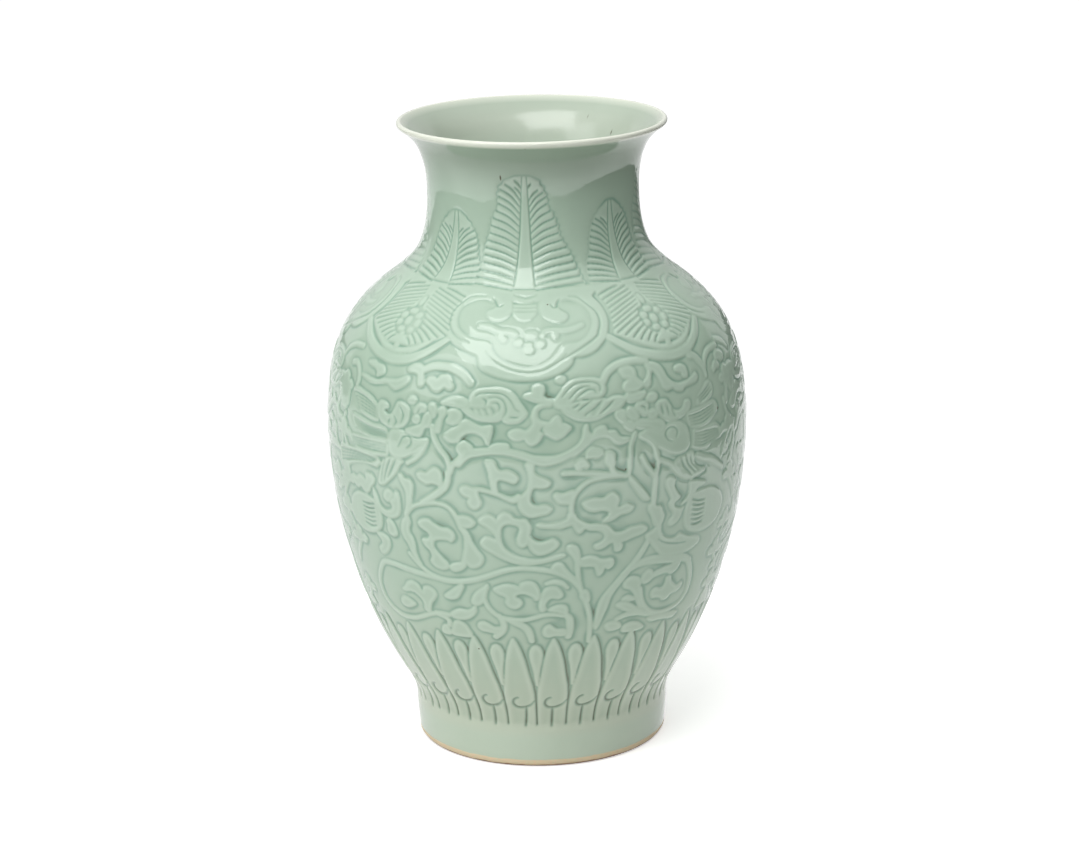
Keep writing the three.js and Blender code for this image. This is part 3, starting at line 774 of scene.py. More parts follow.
    (-3.5, 232.4, -2.4, 233.9, -1, 234.5, -1.2, 236.8, 0.2, 238.4, 1.8, 237.8, 2.2, 235.2, 1.8, 232.8,
     2.6, 231, 4.4, 230.2, 4.4, 228.9, 2.2, 229.1, 0, 229.5, -1.6, 230.6),
    # the arch itself
    (-21.8, 194, -21.4, 198, -20.2, 201.6, -18.7, 204.8, -17.4, 203.8, -15, 204.2, -12, 204.8, -8, 204.6,
     -4, 203, -1, 201, 2, 200.4, 5, 200.6, 7.6, 202.4, 9.8, 204.8, 11.6, 207.8, 12.6, 211, 13.4, 209,
     12.6, 206.2, 10.6, 202.8, 8.4, 200, 6, 197.6, 3.6, 196.2, 1.4, 195.6, -0.6, 196.8, -2.6, 198.6,
     -4.4, 199.8, -7, 201.2, -10, 201.9, -13, 201.5, -15.6, 200.4, -17.8, 199.2, -19.4, 196.6, -20.6, 194),
    # clouds over the arch
    (-18.2, 228.6, -17.8, 232.2, -16.4, 235, -13.6, 236.2, -10, 236.6, -7.4, 235.2, -5.8, 232.8,
     -4.6, 229.4, -3.4, 226.2, -2.6, 223.3, -3.4, 221.2, -4.8, 219, -7, 218.4, -8.6, 219.4, -9.2, 221,
     -10.4, 219.4, -13, 219, -15.6, 219.8, -18, 221.6, -20, 224, -20.4, 225.6, -18.6, 226.4),
    (-26.4, 226.6, -25, 229, -22.8, 230.8, -20.6, 230.8, -18.8, 229.4, -18.6, 226.8, -20.4, 225.4,
     -23.4, 226),
    (4.6, 228, 5.2, 230.8, 6.2, 233.2, 7.4, 236.2, 9, 239, 11.4, 240.4, 14.4, 240.4, 17, 239.8, 18.6, 237.8,
     19, 234.6, 18.6, 231.8, 17.2, 230.2, 14.6, 230.2, 11, 229.4, 9, 228.4, 8.4, 226.6, 6.8, 225.8,
     5.4, 226.2),
    (6.4, 226, 7, 224, 8.6, 221.6, 10.6, 219.6, 13.4, 218.6, 16.2, 219.2, 18.6, 221, 20.6, 222.4,
     22.4, 223.2, 24, 225.6, 24.4, 228.2, 23, 229.4, 20.8, 229.4, 19.2, 228.4, 17.6, 229.2, 15.6, 229.4,
     13.2, 229, 10.6, 228.6, 8.6, 228, 7.2, 227.4),
    # right bloom: coiled petal, and the scales around it
    (28.4, 207.8, 29.6, 209.8, 31.2, 210.4, 33, 208.4, 35, 206.8, 36, 209.4, 38, 210.8, 40.4, 210.4,
     42.4, 208.4, 43.6, 205, 44.1, 201, 43.9, 197, 42.8, 194, 40.4, 193.2, 37.6, 194.4, 35.2, 197,
     33.2, 199.8, 31.4, 202.8, 29.8, 205.4),
    (27, 215.6, 26.8, 212.6, 28.2, 211, 30.6, 210.9, 32.4, 208.8, 34.6, 207, 35.8, 210.2, 35.2, 212.6,
     33.4, 214.4, 31.2, 214.8, 28.8, 215.6),
    (30.7, 217.4, 31.2, 219.2, 32.4, 220, 33.6, 218.8, 33.8, 216.6, 32.8, 214.9, 31.4, 215.3),
    (25.2, 223.2, 24.3, 221, 24.6, 218.4, 25.8, 216.2, 27.2, 215.8, 28, 217.2, 27.5, 219.6, 26.6, 222),
    (27.2, 223.4, 28.2, 225, 30, 224.8, 31, 222.8, 30.7, 220.6, 31.1, 218.8, 30, 217.4, 28.8, 218.4,
     27.9, 220.2, 27.1, 221.6),
    (21.2, 221.4, 22.8, 222.4, 24, 221.4, 24, 218.4, 24.4, 216, 23, 215.6, 22, 217.4, 21.3, 219.4),
    (23.4, 215.4, 25.2, 215.8, 26.5, 214.4, 26.6, 212, 25.6, 210.8, 24.4, 211.8, 23.5, 213.6),
    (30.8, 226, 31.6, 228, 33, 228.6, 34.2, 227.4, 34.2, 225.4, 33, 224.2, 31.4, 224.6),
    (24.9, 230.2, 24.8, 226.8, 26, 225.6, 28.6, 226, 30.4, 227.8, 30.8, 229.8, 28.6, 230.2, 26.6, 229.8),
    # left bloom: coiled petal, and the scales around it
    (-42.4, 207, -43, 203, -42.8, 198, -42, 195, -40, 194, -37.4, 194.6, -35.4, 196.6, -33.4, 198.6,
     -31.8, 201.6, -30.6, 204.4, -29.8, 206.4, -31.6, 206.2, -33.6, 205.6, -35.2, 206.4, -36.6, 207.4,
     -38, 208.6, -40, 209, -41.6, 208.4),
    (-37.2, 209.6, -34.8, 207.8, -32.6, 207.6, -31.8, 209.6, -31.2, 212.4, -29.6, 213.6, -29.2, 216,
     -29, 219, -30.3, 221, -31.3, 219.4, -31.8, 216.6, -32.4, 214, -33.8, 212.8, -35.4, 211.4),
    (-30.2, 224.4, -29.4, 226, -28.2, 225.8, -27.6, 223.6, -27.8, 220.4, -28.6, 218.8, -29.2, 220.6,
     -30, 222.4),
    (-34.6, 220, -34.3, 222.4, -33.2, 224.6, -31.5, 224.6, -30.8, 222.6, -31.4, 221.2, -32.6, 220.8,
     -33.4, 219.4),
    (-35, 216.6, -34.4, 218.4, -33, 218.2, -32.7, 216.2, -33.5, 214.5, -34.6, 214.9),
    (-26.6, 224.4, -25.2, 224.6, -24.6, 222.4, -25.2, 220, -25.9, 217.6, -26.1, 214.6, -26.6, 211.6,
     -27.6, 211.2, -28, 213.4, -27.4, 216.4, -26.8, 219.4, -27, 222.4),
    (-24, 223.4, -22.6, 224.4, -20.8, 223.4, -20.2, 220.4, -21.2, 217.4, -22.8, 216.4, -24.6, 217.6,
     -24, 220.2),
    (-37, 226, -36.4, 227.6, -35, 228, -34.2, 226.4, -35, 224.8, -36.4, 224.8),
    # hooked leaf left of it
    (-25.2, 210, -22.9, 213.7, -21.2, 215.3, -20.4, 218, -18.8, 219, -16.7, 217.3, -14.6, 216, -12.1, 216.7,
     -11.9, 214, -12.3, 210.7, -12.9, 206.7, -13.7, 209.3, -14.6, 211.3, -16.7, 212.7, -18.8, 212,
     -20.2, 210, -21.2, 207.3, -23.3, 206.7, -24.6, 208.3),
    (-12.4, 205.6, -10.6, 207.2, -8, 207.2, -7.4, 205.8, -8, 204.4, -12, 204.4),
    # winged leaf at the right end of the arch
    (12.4, 214.6, 13.2, 216.4, 13.6, 212.4, 14.6, 210.8, 15.4, 213.4, 17, 214.7, 18.2, 214, 18.6, 212,
     20.8, 211.3, 22.1, 208, 24.6, 206.7, 24, 205.2, 22, 204.4, 20.6, 206, 19.2, 208.7, 17.1, 209.7,
     14.6, 208.3, 12.6, 205, 10.4, 201.4, 9, 200, 8, 201.6, 10, 204.8, 11.8, 209),
    # lobes under the collar, right
    (23.8, 243.2, 25.2, 244.4, 27.6, 244.2, 28.7, 241.6, 28.6, 238.6, 29.4, 236.4, 30.4, 234.6, 30, 232.4,
     28, 231, 25.8, 231, 24.4, 232.6, 24.6, 235.4, 25.8, 237.2, 26.6, 238, 25, 238.6, 24.2, 240.8),
    (32.4, 244.6, 34.4, 244.8, 36.8, 242.6, 38, 239, 38.7, 235.2, 40.4, 231.8, 42.6, 230.2, 45, 230.4,
     47.6, 231.6, 49.6, 233.4, 50.4, 231, 49.4, 229.2, 47, 228.4, 44.6, 227.9, 43.4, 226.4, 41.4, 227,
     40, 228.8, 38, 228.4, 36.8, 230, 36.2, 233.4, 35.6, 237, 34.2, 240, 33.2, 236.6, 32.8, 233.4,
     31.6, 232, 30.4, 234, 31.2, 235.4, 32.2, 237.4, 32.8, 240.6),
    (42.2, 239.3, 44.5, 240, 46.2, 238.4, 46.6, 235.6, 46.2, 232.6, 44.4, 233.4, 44.2, 235.6, 42.4, 237),
    # cloud, leaf and wave under the collar, left
    (-38.5, 240.7, -38.9, 242.7, -37.3, 245.3, -35.2, 246, -33.6, 244.6, -33.4, 242.6, -33, 239.3,
     -32.7, 234.7, -34.3, 234, -34.8, 236.7, -35.2, 240, -36.8, 240.7),
    (-55.6, 241, -52.7, 242.3, -51.4, 241.3, -48.5, 240.7, -47.5, 238.7, -47.7, 236.7, -50.2, 234.7,
     -50.4, 236.7, -51.8, 238.7, -53.9, 239.3),
    (-57.3, 232.7, -55.2, 233.3, -52.3, 232.5, -49.3, 232.5, -47.3, 234, -46, 234.3, -42.7, 235,
     -40.6, 236.3, -38.9, 238, -37.7, 237.3, -38, 234.7, -39.3, 232.7, -41.8, 230.3, -43.5, 230.7,
     -45.2, 232.3, -47.7, 231.7, -50.2, 230.7, -52.7, 230.7, -55.2, 231.7),
    (-66.6, 228, -64, 227.6, -62.2, 223, -62, 217, -63, 213.4, -66.6, 212.6),
    # left bloom: petals from the top down
    (-59.8, 224.3, -57.7, 225.7, -54.8, 224.7, -51.4, 223.3, -48.9, 220.7, -47.9, 218.7, -48, 215.3,
     -47.4, 212, -48.7, 211.6, -51.8, 212, -54.8, 213.7, -56.4, 216, -57.3, 219.3, -58.9, 222),
    (-58.9, 210.7, -54.3, 210, -49.3, 208.6, -46, 209, -43.8, 207.6, -43.2, 204.7, -43.4, 202.2,
     -48.1, 201.5, -52.3, 201.9, -56.4, 203.3, -58.1, 206.7),
    (-59.3, 199.1, -56, 200, -49.3, 200.1, -43.6, 200.6, -43.2, 197.3, -43.8, 193.6, -47.3, 192.2,
     -52.3, 192.9, -56.4, 192.9, -58.5, 194.7, -60.6, 197.3),
    (-66.6, 189.4, -62, 191.4, -55, 191.8, -49, 191.4, -46.6, 190, -47, 186.8, -52, 186.6, -57, 184.6,
     -62, 181, -66.6, 178),
    (-42.7, 193, -38, 192.6, -38.9, 190, -40.6, 184.7, -42.7, 180.7, -45.2, 176.7, -47.3, 176.7, -47, 180.7,
     -46, 186, -45.3, 190),
    (-47.7, 220, -46.8, 222.3, -45.2, 222.3, -43.7, 220.3, -45, 219, -45.2, 217, -43.7, 215.9, -42.3, 216.7,
     -41.2, 220.5, -40.4, 223.6, -38.6, 223.7, -36.8, 222, -36.2, 219, -36.6, 215.3, -38, 211.7, -40.6, 210,
     -43.5, 210, -46, 211.9, -47.3, 215),
    # right bloom: petals from the top down
    (48.2, 216.9, 49.1, 220.7, 51.2, 223.5, 53.7, 226.7, 55.3, 225.7, 56.2, 222.7, 55.3, 219.3, 52.8, 217,
     50.3, 216),
    (43.9, 211.3, 44.1, 213.5, 47.8, 214.5, 51.2, 215, 54.1, 215.8, 56.2, 215, 57.4, 212, 57, 210,
     54.5, 207.3, 52, 204.9, 48.7, 204.4, 45.8, 205.5, 44.3, 208),
    (46, 203.5, 48.7, 202.6, 52, 203, 54.9, 203.3, 57.4, 200.7, 58.9, 196.7, 58.2, 194.9, 53.7, 194.2,
     52, 192.1, 48.7, 192.4, 46.4, 193.7, 45.5, 195.5, 45.9, 199.3),
    (39.9, 190.7, 42, 191.3, 44.9, 192.5, 46, 190, 45.8, 186.7, 47, 183.3, 49.5, 180.7, 49, 179.7,
     45.3, 178, 42.8, 179.3, 40.8, 181.3, 39.5, 184.7, 38.3, 188),
    (33.5, 221.3, 34.9, 223.7, 37, 223.3, 38, 220.7, 39.1, 217.3, 40.3, 216.2, 41.6, 216.2, 42.8, 217.5,
     43.6, 220.4, 45.3, 220, 45.5, 217.3, 44.5, 214.9, 42, 213, 39.5, 212, 37.4, 211.9, 35.8, 213.9,
     34.3, 216.7),
    # fans at the edge of the view
    (46, 168, 43.6, 161, 43.4, 153, 45.4, 147.4, 50, 144.6, 55.5, 145, 59.6, 149, 61, 156, 58.6, 163.4,
     53.6, 168.2),
    (-50, 165.4, -47.8, 158.6, -48.4, 151, -51.6, 146.4, -56.6, 145, -61.2, 148, -63, 155, -61.4, 162.6,
     -56.6, 167.4),
]
# Sunk fields inside raised parts: share of the depth of the ground, then the outline
HOLLOWS = [
    (0.7, -18.2, 226, -16.6, 226, -14.4, 226.2, -12.4, 227.4, -11, 226, -10.8, 223.4, -12, 221.8,
     -14.6, 222, -17, 223.2),
    (0.6, 14.4, 221.4, 15.4, 224.4, 17.2, 227, 18.2, 228.6, 17.4, 225.6, 16.4, 222.6, 15.4, 220.8),
]
# Low strokes that stand in a sunk field
FINGERS = [
    (0.5, 0.8, 0.5, -16.6, 225, -15.8, 222.6), (0.5, 0.8, 0.5, -14.9, 225, -13.9, 222),
    (0.5, 0.8, 0.5, -13.1, 226, -12.1, 222.2),
]
# Cut lines
CUTS = [
    (-16.6, 232, -15.2, 233.6, -12.4, 234, -9.8, 233.8, -7.8, 231.8, -6.6, 228.8, -5.8, 225.8, -4.8, 224.6),
    (-13.2, 231.4, -11, 231.9, -9.2, 230.4, -8.3, 227.4, -8.2, 224, -9, 221.2),
    (-12, 228.7, -10.6, 228.8, -9.9, 226.8, -10.3, 224.4),
    (-7.2, 221.5, -4.9, 221.4), (-14.6, 231, -13.6, 229.6, -13.8, 227.4),
    (6.8, 231.6, 8.6, 235.2, 10.6, 238, 13.4, 238.8, 16, 238.2, 17.4, 236.2, 17.5, 233.4),
    (8.8, 230.4, 10.6, 233.8, 12.4, 236, 14.6, 236.4),
    (10.4, 229.8, 12.2, 232.6, 14.2, 234.6, 15.8, 234.2, 16.2, 232.4),
    (9.8, 228.6, 12, 229.4, 14.4, 229.6, 17.6, 229.6),
    (11.2, 224, 13.2, 226.8, 14.8, 228.4), (12.8, 221.4, 15.4, 224.6, 17.8, 228.2),
    (9.8, 225.6, 11.6, 227.6), (17, 221.6, 19, 224.4, 21, 227.6),
    (39.4, 202.6, 39.9, 205.4, 39.2, 207.8, 37.6, 208.7, 36.2, 207.4, 35.8, 205, 36.6, 202.2, 38.2, 200.6),
    (-39.4, 200.6, -38.6, 203.4, -37.8, 205.8, -36.4, 206.6, -35.2, 205.4, -35.4, 202.6, -36.6, 200.4),
    (-33.8, 219.4, -33, 222), (29, 222.4, 29.9, 222, 30.2, 220.4), (1.5, 216.4, 1.1, 214.4, 2, 212.8),
    (34.4, 146.6, 37, 143.4, 41, 141.2, 45, 140.2),
    (-44, 111, -42, 114, -39.4, 113.4, -37.8, 109.6, -38, 105),
    (-39.7, 222, -38.2, 217.6, -38.8, 213), (-41.2, 216.3, -40.5, 213.4, -41.3, 210.8),
    (-43, 214.8, -43.3, 211),
    (35.2, 221.2, 35.6, 216), (36.9, 221.6, 37.6, 215.4), (38.4, 218.6, 39.7, 213.6),
    (-44.3, 192, -45.6, 185, -46.2, 177.6), (-42.3, 192.6, -43.9, 186, -45.2, 178.6),
    (-40.4, 192.6, -42.2, 186, -43.6, 181.4),
    (41, 190.8, 42.2, 185.4, 45, 179.6), (42.8, 191.6, 43.8, 186, 46.6, 180.4),
    (44.6, 192, 45, 186.6, 48, 180.8),
]
# Sheaves of cut lines: how many, the first line, the last line
SHEAVES = [
    (5, (-59.4, 223.6, -54, 222.6, -48.6, 219.4), (-56.6, 214.8, -52, 213, -47.8, 212)),
    (4, (-58.6, 209.6, -51, 207.4, -43.6, 207.2), (-57, 203.4, -50, 202.2, -43.6, 202.8)),
    (4, (-59.6, 198.4, -52, 199.4, -43.8, 200.2), (-58.6, 193.4, -51, 193.4, -44, 194.6)),
    (4, (-66.4, 188.4, -57, 190.6, -47.4, 190.4), (-66.4, 180.4, -58, 184.6, -50, 187.2)),
    (3, (48.8, 220.4, 52, 223.4, 54.8, 226), (49.6, 216.6, 53, 218.4, 56, 221.2)),
    (4, (44.2, 212.8, 49, 213, 55.6, 214.8), (45.2, 206, 50, 205.2, 55.4, 208.4)),
    (5, (46.4, 202.6, 51, 202, 56.8, 200.8), (46.2, 194.6, 50, 193, 57.6, 195)),
    (6, (46, 166.4, 48.6, 164.4, 51.4, 163.6), (46, 149, 48.6, 148.2, 51.4, 149)),
    (6, (-56, 163.2, -53, 163.4, -50.4, 164.6), (-56, 149, -53, 148.2, -50.6, 149.2)),
]


# Stems are cut a little slimmer than they were drawn, leaves a little fuller and with lobes this long
STEM_SHARE = 0.95
LEAF_SHARE = 1.12
LEAF_MORE = 0.25
LEAF_LOBE = 4.4
THIN_STROKE = 1.85
CUT_WIDTHS = (0.4, 0.6, 0.4)
CUT_DEPTH = 0.7
SHEAF_DEPTH = 0.9


def slim(widths):
    return tuple(STEM_SHARE * width for width in widths)


def full(widths):
    return tuple(LEAF_SHARE * width + LEAF_MORE for width in widths)


def leaf_lobe(row):
    """The length of the lobes of a leaf; a thin stroke has none."""
    return LEAF_LOBE if row[1] > THIN_STROKE else 0


def scroll(carving, turn):
    """The front of the scroll, or the same again on the back."""
    for row in STEMS:
        carving.ridge(slim(row[:3]), pairs(row[3:]) + [turn, 0])
    for row in LEAVES:
        carving.ridge(full(row[:3]), pairs(row[3:]) + [turn, 0], leaf_lobe(row))
    for row in BLOOMS_AND_CLOUDS:
        carving.ridge(row[:3], pairs(row[3:]) + [turn, 0])
    for row in PLATES:
        carving.patch(pairs(row) + [turn, 0], curved=True)
    for depth, *row in HOLLOWS:
        carving.hollow(pairs(row) + [turn, 0], depth)
    for row in FINGERS:
        carving.ridge(row[:3], pairs(row[3:]) + [turn, 0])
    for row in CUTS:
        carving.line(CUT_WIDTHS, pairs(row) + [turn, 0], CUT_DEPTH)
    for count, first, last in SHEAVES:
        for i in range(count):
            share = (i + 0.5) / count
            line = pairs(first) * (1 - share) + pairs(last) * share
            carving.line(CUT_WIDTHS, line + [turn, 0], SHEAF_DEPTH)


# At the sides only what lies within so many degrees of the middle of the scroll is repeated
SIDE_REACH = 27
# A trefoil on its stalk, and where it stands between the scrolls: turn, climb, lean to the right or left
SPRIG_LEAF = (
    0, -1, -1.6, 0.4, -3.6, 0.2, -4.4, 2.4, -3, 4.6, -1.8, 4.2, -1.6, 7, 0.2, 9.4, 2, 7.4, 1.8, 4.6,
    3.2, 5.4, 4.6, 3.2, 3.6, 0.8, 1.6, 0.6,
)
SPRIG_STALK = (-4, -13, -2.6, -7, 0, -0.4)
SPRIGS = [
    (64, 104, 1), (62, 124, -1), (65, 140, 1), (64.6, 168, -1), (62.6, 196, 1), (65, 222, -1),
    (-65, 104, 1), (-61.6, 136, 1), (-66, 152, -1), (-63.6, 170, 1), (-64, 197, -1), (-65.6, 222, 1),
]


def within(points, reach):
    """The first unbroken run of points that stays within this many degrees of the middle."""
    inside = np.abs(points[:, 0]) < reach
    start = int(np.argmax(inside))
    after = np.flatnonzero(~inside[start:])
    end = start + int(after[0]) if len(after) else len(points)
    return points[start:end]


def scroll_at_the_side(carving, turn):
    """The middle of the scroll once more, for the places between front and back."""
    for row in STEMS + LEAVES + BLOOMS_AND_CLOUDS:
        points = within(pairs(row[3:]), SIDE_REACH + 3)
        if len(points) > 2:
            carving.ridge(row[:3], points + [turn, 0], leaf_lobe(row))
    for row in PLATES:
        points = pairs(row)
        if np.abs(points[:, 0]).max() < SIDE_REACH + 2:
            carving.patch(points + [turn, 0], curved=True)
    for depth, *row in HOLLOWS:
        carving.hollow(pairs(row) + [turn, 0], depth)
    for row in CUTS:
        points = pairs(row)
        if np.abs(points[:, 0]).max() < SIDE_REACH:
            carving.line(CUT_WIDTHS, points + [turn, 0], CUT_DEPTH)


def sprig(carving, turn, foot, lean):
    carving.ridge((0.8, 1.0, 0.9), pairs(SPRIG_STALK) * [lean, 1] + [turn, foot])
    carving.patch(pairs(SPRIG_LEAF) * [lean, 1] + [turn, foot], curved=True)


# Left plain: the foot up to this climb, and a groove above the collar. What is raised is this much fatter.
PLAIN_FOOT_TOP = 24.8
PLAIN_BAND = (292.2, 296.8)
FATTER = 0.1


def carve(climb, radius):
    carving = Carving(climb, radius)
    scroll(carving, 0)
    scroll(carving, 180)
    scroll_at_the_side(carving, 90)
    scroll_at_the_side(carving, -90)
    for turn, foot, lean in SPRIGS:
        sprig(carving, turn, foot, lean)
        sprig(carving, turn + 180, foot, lean)
    carving.edge -= FATTER
    for quarter in range(4):
        ruyi(carving, RUYI_MIDDLE + quarter * 90)
        fan(carving, FAN_MIDDLE + quarter * 90)
        plantain_leaf(carving, TALL_LEAF_MIDDLE + quarter * 90, TALL_LEAF, TALL_LEAF_STEP)
        plantain_leaf(carving, SHORT_LEAF_MIDDLE + quarter * 90, SHORT_LEAVES[quarter % 2], SHORT_LEAF_STEP)
    lappets(carving)
    band = np.abs(climb - sum(PLAIN_BAND) / 2) - (PLAIN_BAND[1] - PLAIN_BAND[0]) / 2
    plain = np.minimum(climb - PLAIN_FOOT_TOP, band)
    carving.edge = np.minimum(carving.edge, plain[:, None])
    return carving


# Where the ground was cut deeper and the glaze lies green: turn, climb, reach in millimetres, depth
POOLS = [
    (-5, 106.6, 5, 0.5), (-4.6, 120.4, 3, 0.4), (-1, 113, 3, 0.3), (5.4, 102, 4, 0.6), (10.4, 101, 5, 0.5),
    (-33, 110, 5, 0.4), (-26, 110.6, 6, 0.5), (-22.6, 101, 5, 0.4), (-29.6, 98.6, 3, 0.5),
    (-44, 100, 6, 0.2), (-26, 139.4, 5, 0.5), (-26.6, 159.6, 5, 0.6), (-32.6, 152.8, 4, 0.5),
    (-17.8, 153, 6, 0.5), (-23, 130, 8, 0.3), (0, 154.6, 5, 0.6), (-1.4, 164.6, 4, 0.4),
    (-9.6, 150, 5, 0.4), (-6, 157, 4, 0.3), (-7, 140, 4, 0.3), (-6.4, 181, 5, 0.6), (-1.6, 176, 3, 0.5),
    (-11.6, 174.6, 7, 0.2), (-33, 174, 8, 0.3), (-24.9, 187.6, 4, 0.8), (14, 163.4, 5, 0.5),
    (10.2, 170, 5, 0.4), (16.6, 177.6, 4, 0.4), (18, 166.4, 4, 0.5), (22, 158, 6, 0.5),
    (22.6, 190.4, 5, 0.9), (32, 189.6, 4, 0.9), (8.6, 185.6, 6, 0.5), (30, 175.6, 6, 0.5),
    (16.6, 108, 6, 0.6), (22, 136, 8, 0.4), (38.6, 119, 5, 0.4), (42, 118.6, 4, 0.4), (37, 129.6, 5, 0.4),
    (41, 102, 6, 0.3), (28.4, 98.6, 5, 0.5), (29.6, 106.4, 3, 0.4), (41.6, 167.4, 5, 0.6),
    (46.6, 178, 5, 0.4), (36, 150, 6, 0.3), (-23.5, 199, 6, 0.8), (-19, 208.6, 5, 0.6), (-10, 213, 7, 0.7),
    (-6.6, 222, 5, 0.6), (-1.6, 228, 5, 0.6), (2.6, 207, 8, 0.6), (10, 213, 6, 0.4), (20, 216, 6, 0.5),
    (3.6, 232.6, 3, 0.9), (3.4, 236.6, 4, 0.4), (-22, 222.6, 6, 0.5), (22.6, 200, 7, 0.5),
    (-30, 208.4, 4, 0.4), (-15, 195, 8, 0.3), (34, 240, 5, 0.4), (-44, 216, 3, 0.4), (28.4, 202, 4, 0.4),
    (-13, 272.6, 7, 0.3), (7, 273, 6, 0.3), (-4, 243, 9, 0.2), (23, 252, 7, 0.3), (-32, 253, 7, 0.3),
]


def uneven(climb, size, seed):
    """Smooth unevenness from 0 to 1, in patches of about this many degrees and twice as many millimetres."""
    chance = np.random.default_rng(seed)
    across = int(360 / size)
    rows = int(climb.max() / (2 * size)) + 3
    coarse = chance.random((rows, across))
    y = climb / (2 * size)
    x = (TURNS + 180) / size
    x0 = np.floor(x).astype(int)
    y0 = np.floor(y).astype(int)
    tx = ease(0, 1, x - x0)[None, :]
    ty = ease(0, 1, y - y0)[:, None]
    below = coarse[y0][:, x0 % across] * (1 - tx) + coarse[y0][:, (x0 + 1) % across] * tx
    above = coarse[y0 + 1][:, x0 % across] * (1 - tx) + coarse[y0 + 1][:, (x0 + 1) % across] * tx
    return below * (1 - ty) + above * ty


def pools(carving):
    deep = np.zeros(carving.edge.shape, np.float32)
    for half_way_round in (0, 180):
        for turn, climb, reach, depth in POOLS:
            away = (TURNS - turn - half_way_round + 180) % 360 - 180
            x = np.radians(away)[None, :] * carving.radius[:, None]
            y = (carving.climb - climb)[:, None]
            deep = np.maximum(deep, depth * np.exp(-(x * x + y * y) / (reach * reach)))
    return deep


def spread(values, passes):
    """A soft copy of a field that runs all the way round."""
    for _ in range(passes):
        values = (np.roll(values, 1, 1) + 2 * values + np.roll(values, -1, 1)) / 4
        above = np.vstack([values[1:], values[-1:]])
        below = np.vstack([values[:1], values[:-1]])
        values = (above + 2 * values + below) / 4
    return values


# Stretches of climb over which the lappets end, the collar begins and the leaves on the neck begin
LAPPETS_END = (88, 97)
COLLAR_BEGINS = (242, 248)
NECK_BEGINS = (298, 306)
# Depth of the ground between raised parts, and what is added at the foot, on the neck and in the pools
GROUND = 0.24
GROUND_AT_FOOT = 0.14
GROUND_ON_NECK = -0.2
GROUND_IN_POOLS = 0.5
# The knife went deeper close to a raised part: everywhere, by the unevenness of the hand, on its right side
MOAT = 0.24
MOAT_BY_HAND = 0.4
MOAT_ON_THE_RIGHT = 0.16
MOAT_AT_FOOT = 0.6
MOAT_REACH = 1.7
MOAT_SLOPE = 0.8
RIGHT_SIDE_RUN = 2.4
# The hand was uneven in patches, and steadier on the lappets
HAND_PATCH = 4.5
HAND_SEED = 3
HAND_STEADIER = 0.6
HAND_AT_FOOT = 0.3
# Raised parts are dished a little, over this stretch inside their rounded edges
DISHED = 0.1
DISH_RUN = (0.7, 2.6)
DISHED_AT_FOOT = 0.2
DISH_RUN_AT_FOOT = (0.6, 4.6)
ROUNDED = 0.15
ROUNDED_REACH = 0.5
# A cut line shows on a raised part and just past its edge, and hardly on the ground
CUT_ON_RAISED = 0.95
CUT_ON_GROUND = 0.15
PAST_EDGE = 0.2
# The carving of the neck is shallower at the sides, within this stretch of degrees from them
WORN_AT_SIDES = 0.55
WORN_FROM_SIDES = (18, 30)


def depth_of(carving):
    """How far the surface stands above the outline: zero on the raised parts, negative where it is cut."""
    climb = carving.climb
    edge = carving.edge
    on_neck = np.clip((climb - NECK_BEGINS[0]) / (NECK_BEGINS[1] - NECK_BEGINS[0]), 0, 1)[:, None]
    at_foot = (1 - ease(*LAPPETS_END, climb))[:, None]
    out = np.maximum(edge, 0)
    hand = uneven(climb, HAND_PATCH, HAND_SEED) * (1 - HAND_STEADIER * at_foot) + HAND_AT_FOOT * at_foot
    to_the_right = np.clip((np.roll(edge, -2, 1) - np.roll(edge, 2, 1)) / RIGHT_SIDE_RUN, -1, 1)
    ground = (GROUND + GROUND_AT_FOOT * at_foot + GROUND_ON_NECK * on_neck
              + GROUND_IN_POOLS * pools(carving) * (1 - on_neck))
    moat = (MOAT + MOAT_BY_HAND * hand + MOAT_ON_THE_RIGHT * to_the_right) * (1 + MOAT_AT_FOOT * at_foot)
    floor = -(ground + moat * np.exp(-out / MOAT_REACH)) * ease(0, MOAT_SLOPE, out) * carving.sunk
    dished = (DISHED * ease(*DISH_RUN, -edge) * (1 - at_foot)
              + DISHED_AT_FOOT * ease(*DISH_RUN_AT_FOOT, -edge) * at_foot)
    below_collar = 1 - ease(*COLLAR_BEGINS, climb)
    floor -= dished * (below_collar * ease(PLAIN_FOOT_TOP, PLAIN_FOOT_TOP + 2, climb))[:, None]
    rounded_off = -ROUNDED * np.exp(-np.abs(edge) / ROUNDED_REACH)
    cut = carving.cut * np.where(edge < PAST_EDGE, CUT_ON_RAISED, CUT_ON_GROUND)
    from_the_side = np.abs(90 - np.abs(TURNS))[None, :]
    worn = 1 - WORN_AT_SIDES * on_neck * (1 - ease(*WORN_FROM_SIDES, from_the_side))
    return spread((floor + rounded_off - cut) * worn, 1)


def spaced(low, high, step):
    return np.linspace(low, high, max(1, math.ceil((high - low) / step)) + 1)


# The outline is measured in this many steps. Heights closer than this are the same height.
FINE_STEPS = 8000
SAME = 1e-6


def outer_heights():
    """Heights of the rows on the outside, about ROW apart along the outline, with every joint among them."""
    fine = np.linspace(FOOT_HEIGHT, LIP_START[1], FINE_STEPS)
    radius = through_knots(OUTLINE, fine)[0]
    climb = FOOT_CLIMB + np.concatenate([[0], np.cumsum(np.hypot(np.diff(fine), np.diff(radius)))])
    stops = sorted({LIP_START[1], *JOINTS, *(z + SLIP for z in JOINTS)})
    heights = []
    for low, high in zip(stops, stops[1:]):
        ends = np.interp([low, high], fine, climb)
        climbs = spaced(ends[0], ends[1], min(ROW, (ends[1] - ends[0]) / 2))
        heights.append(np.interp(climbs, climb, fine)[:-1])
    heights = np.concatenate(heights + [[LIP_START[1]]])
    return heights, np.interp(heights, fine, climb)


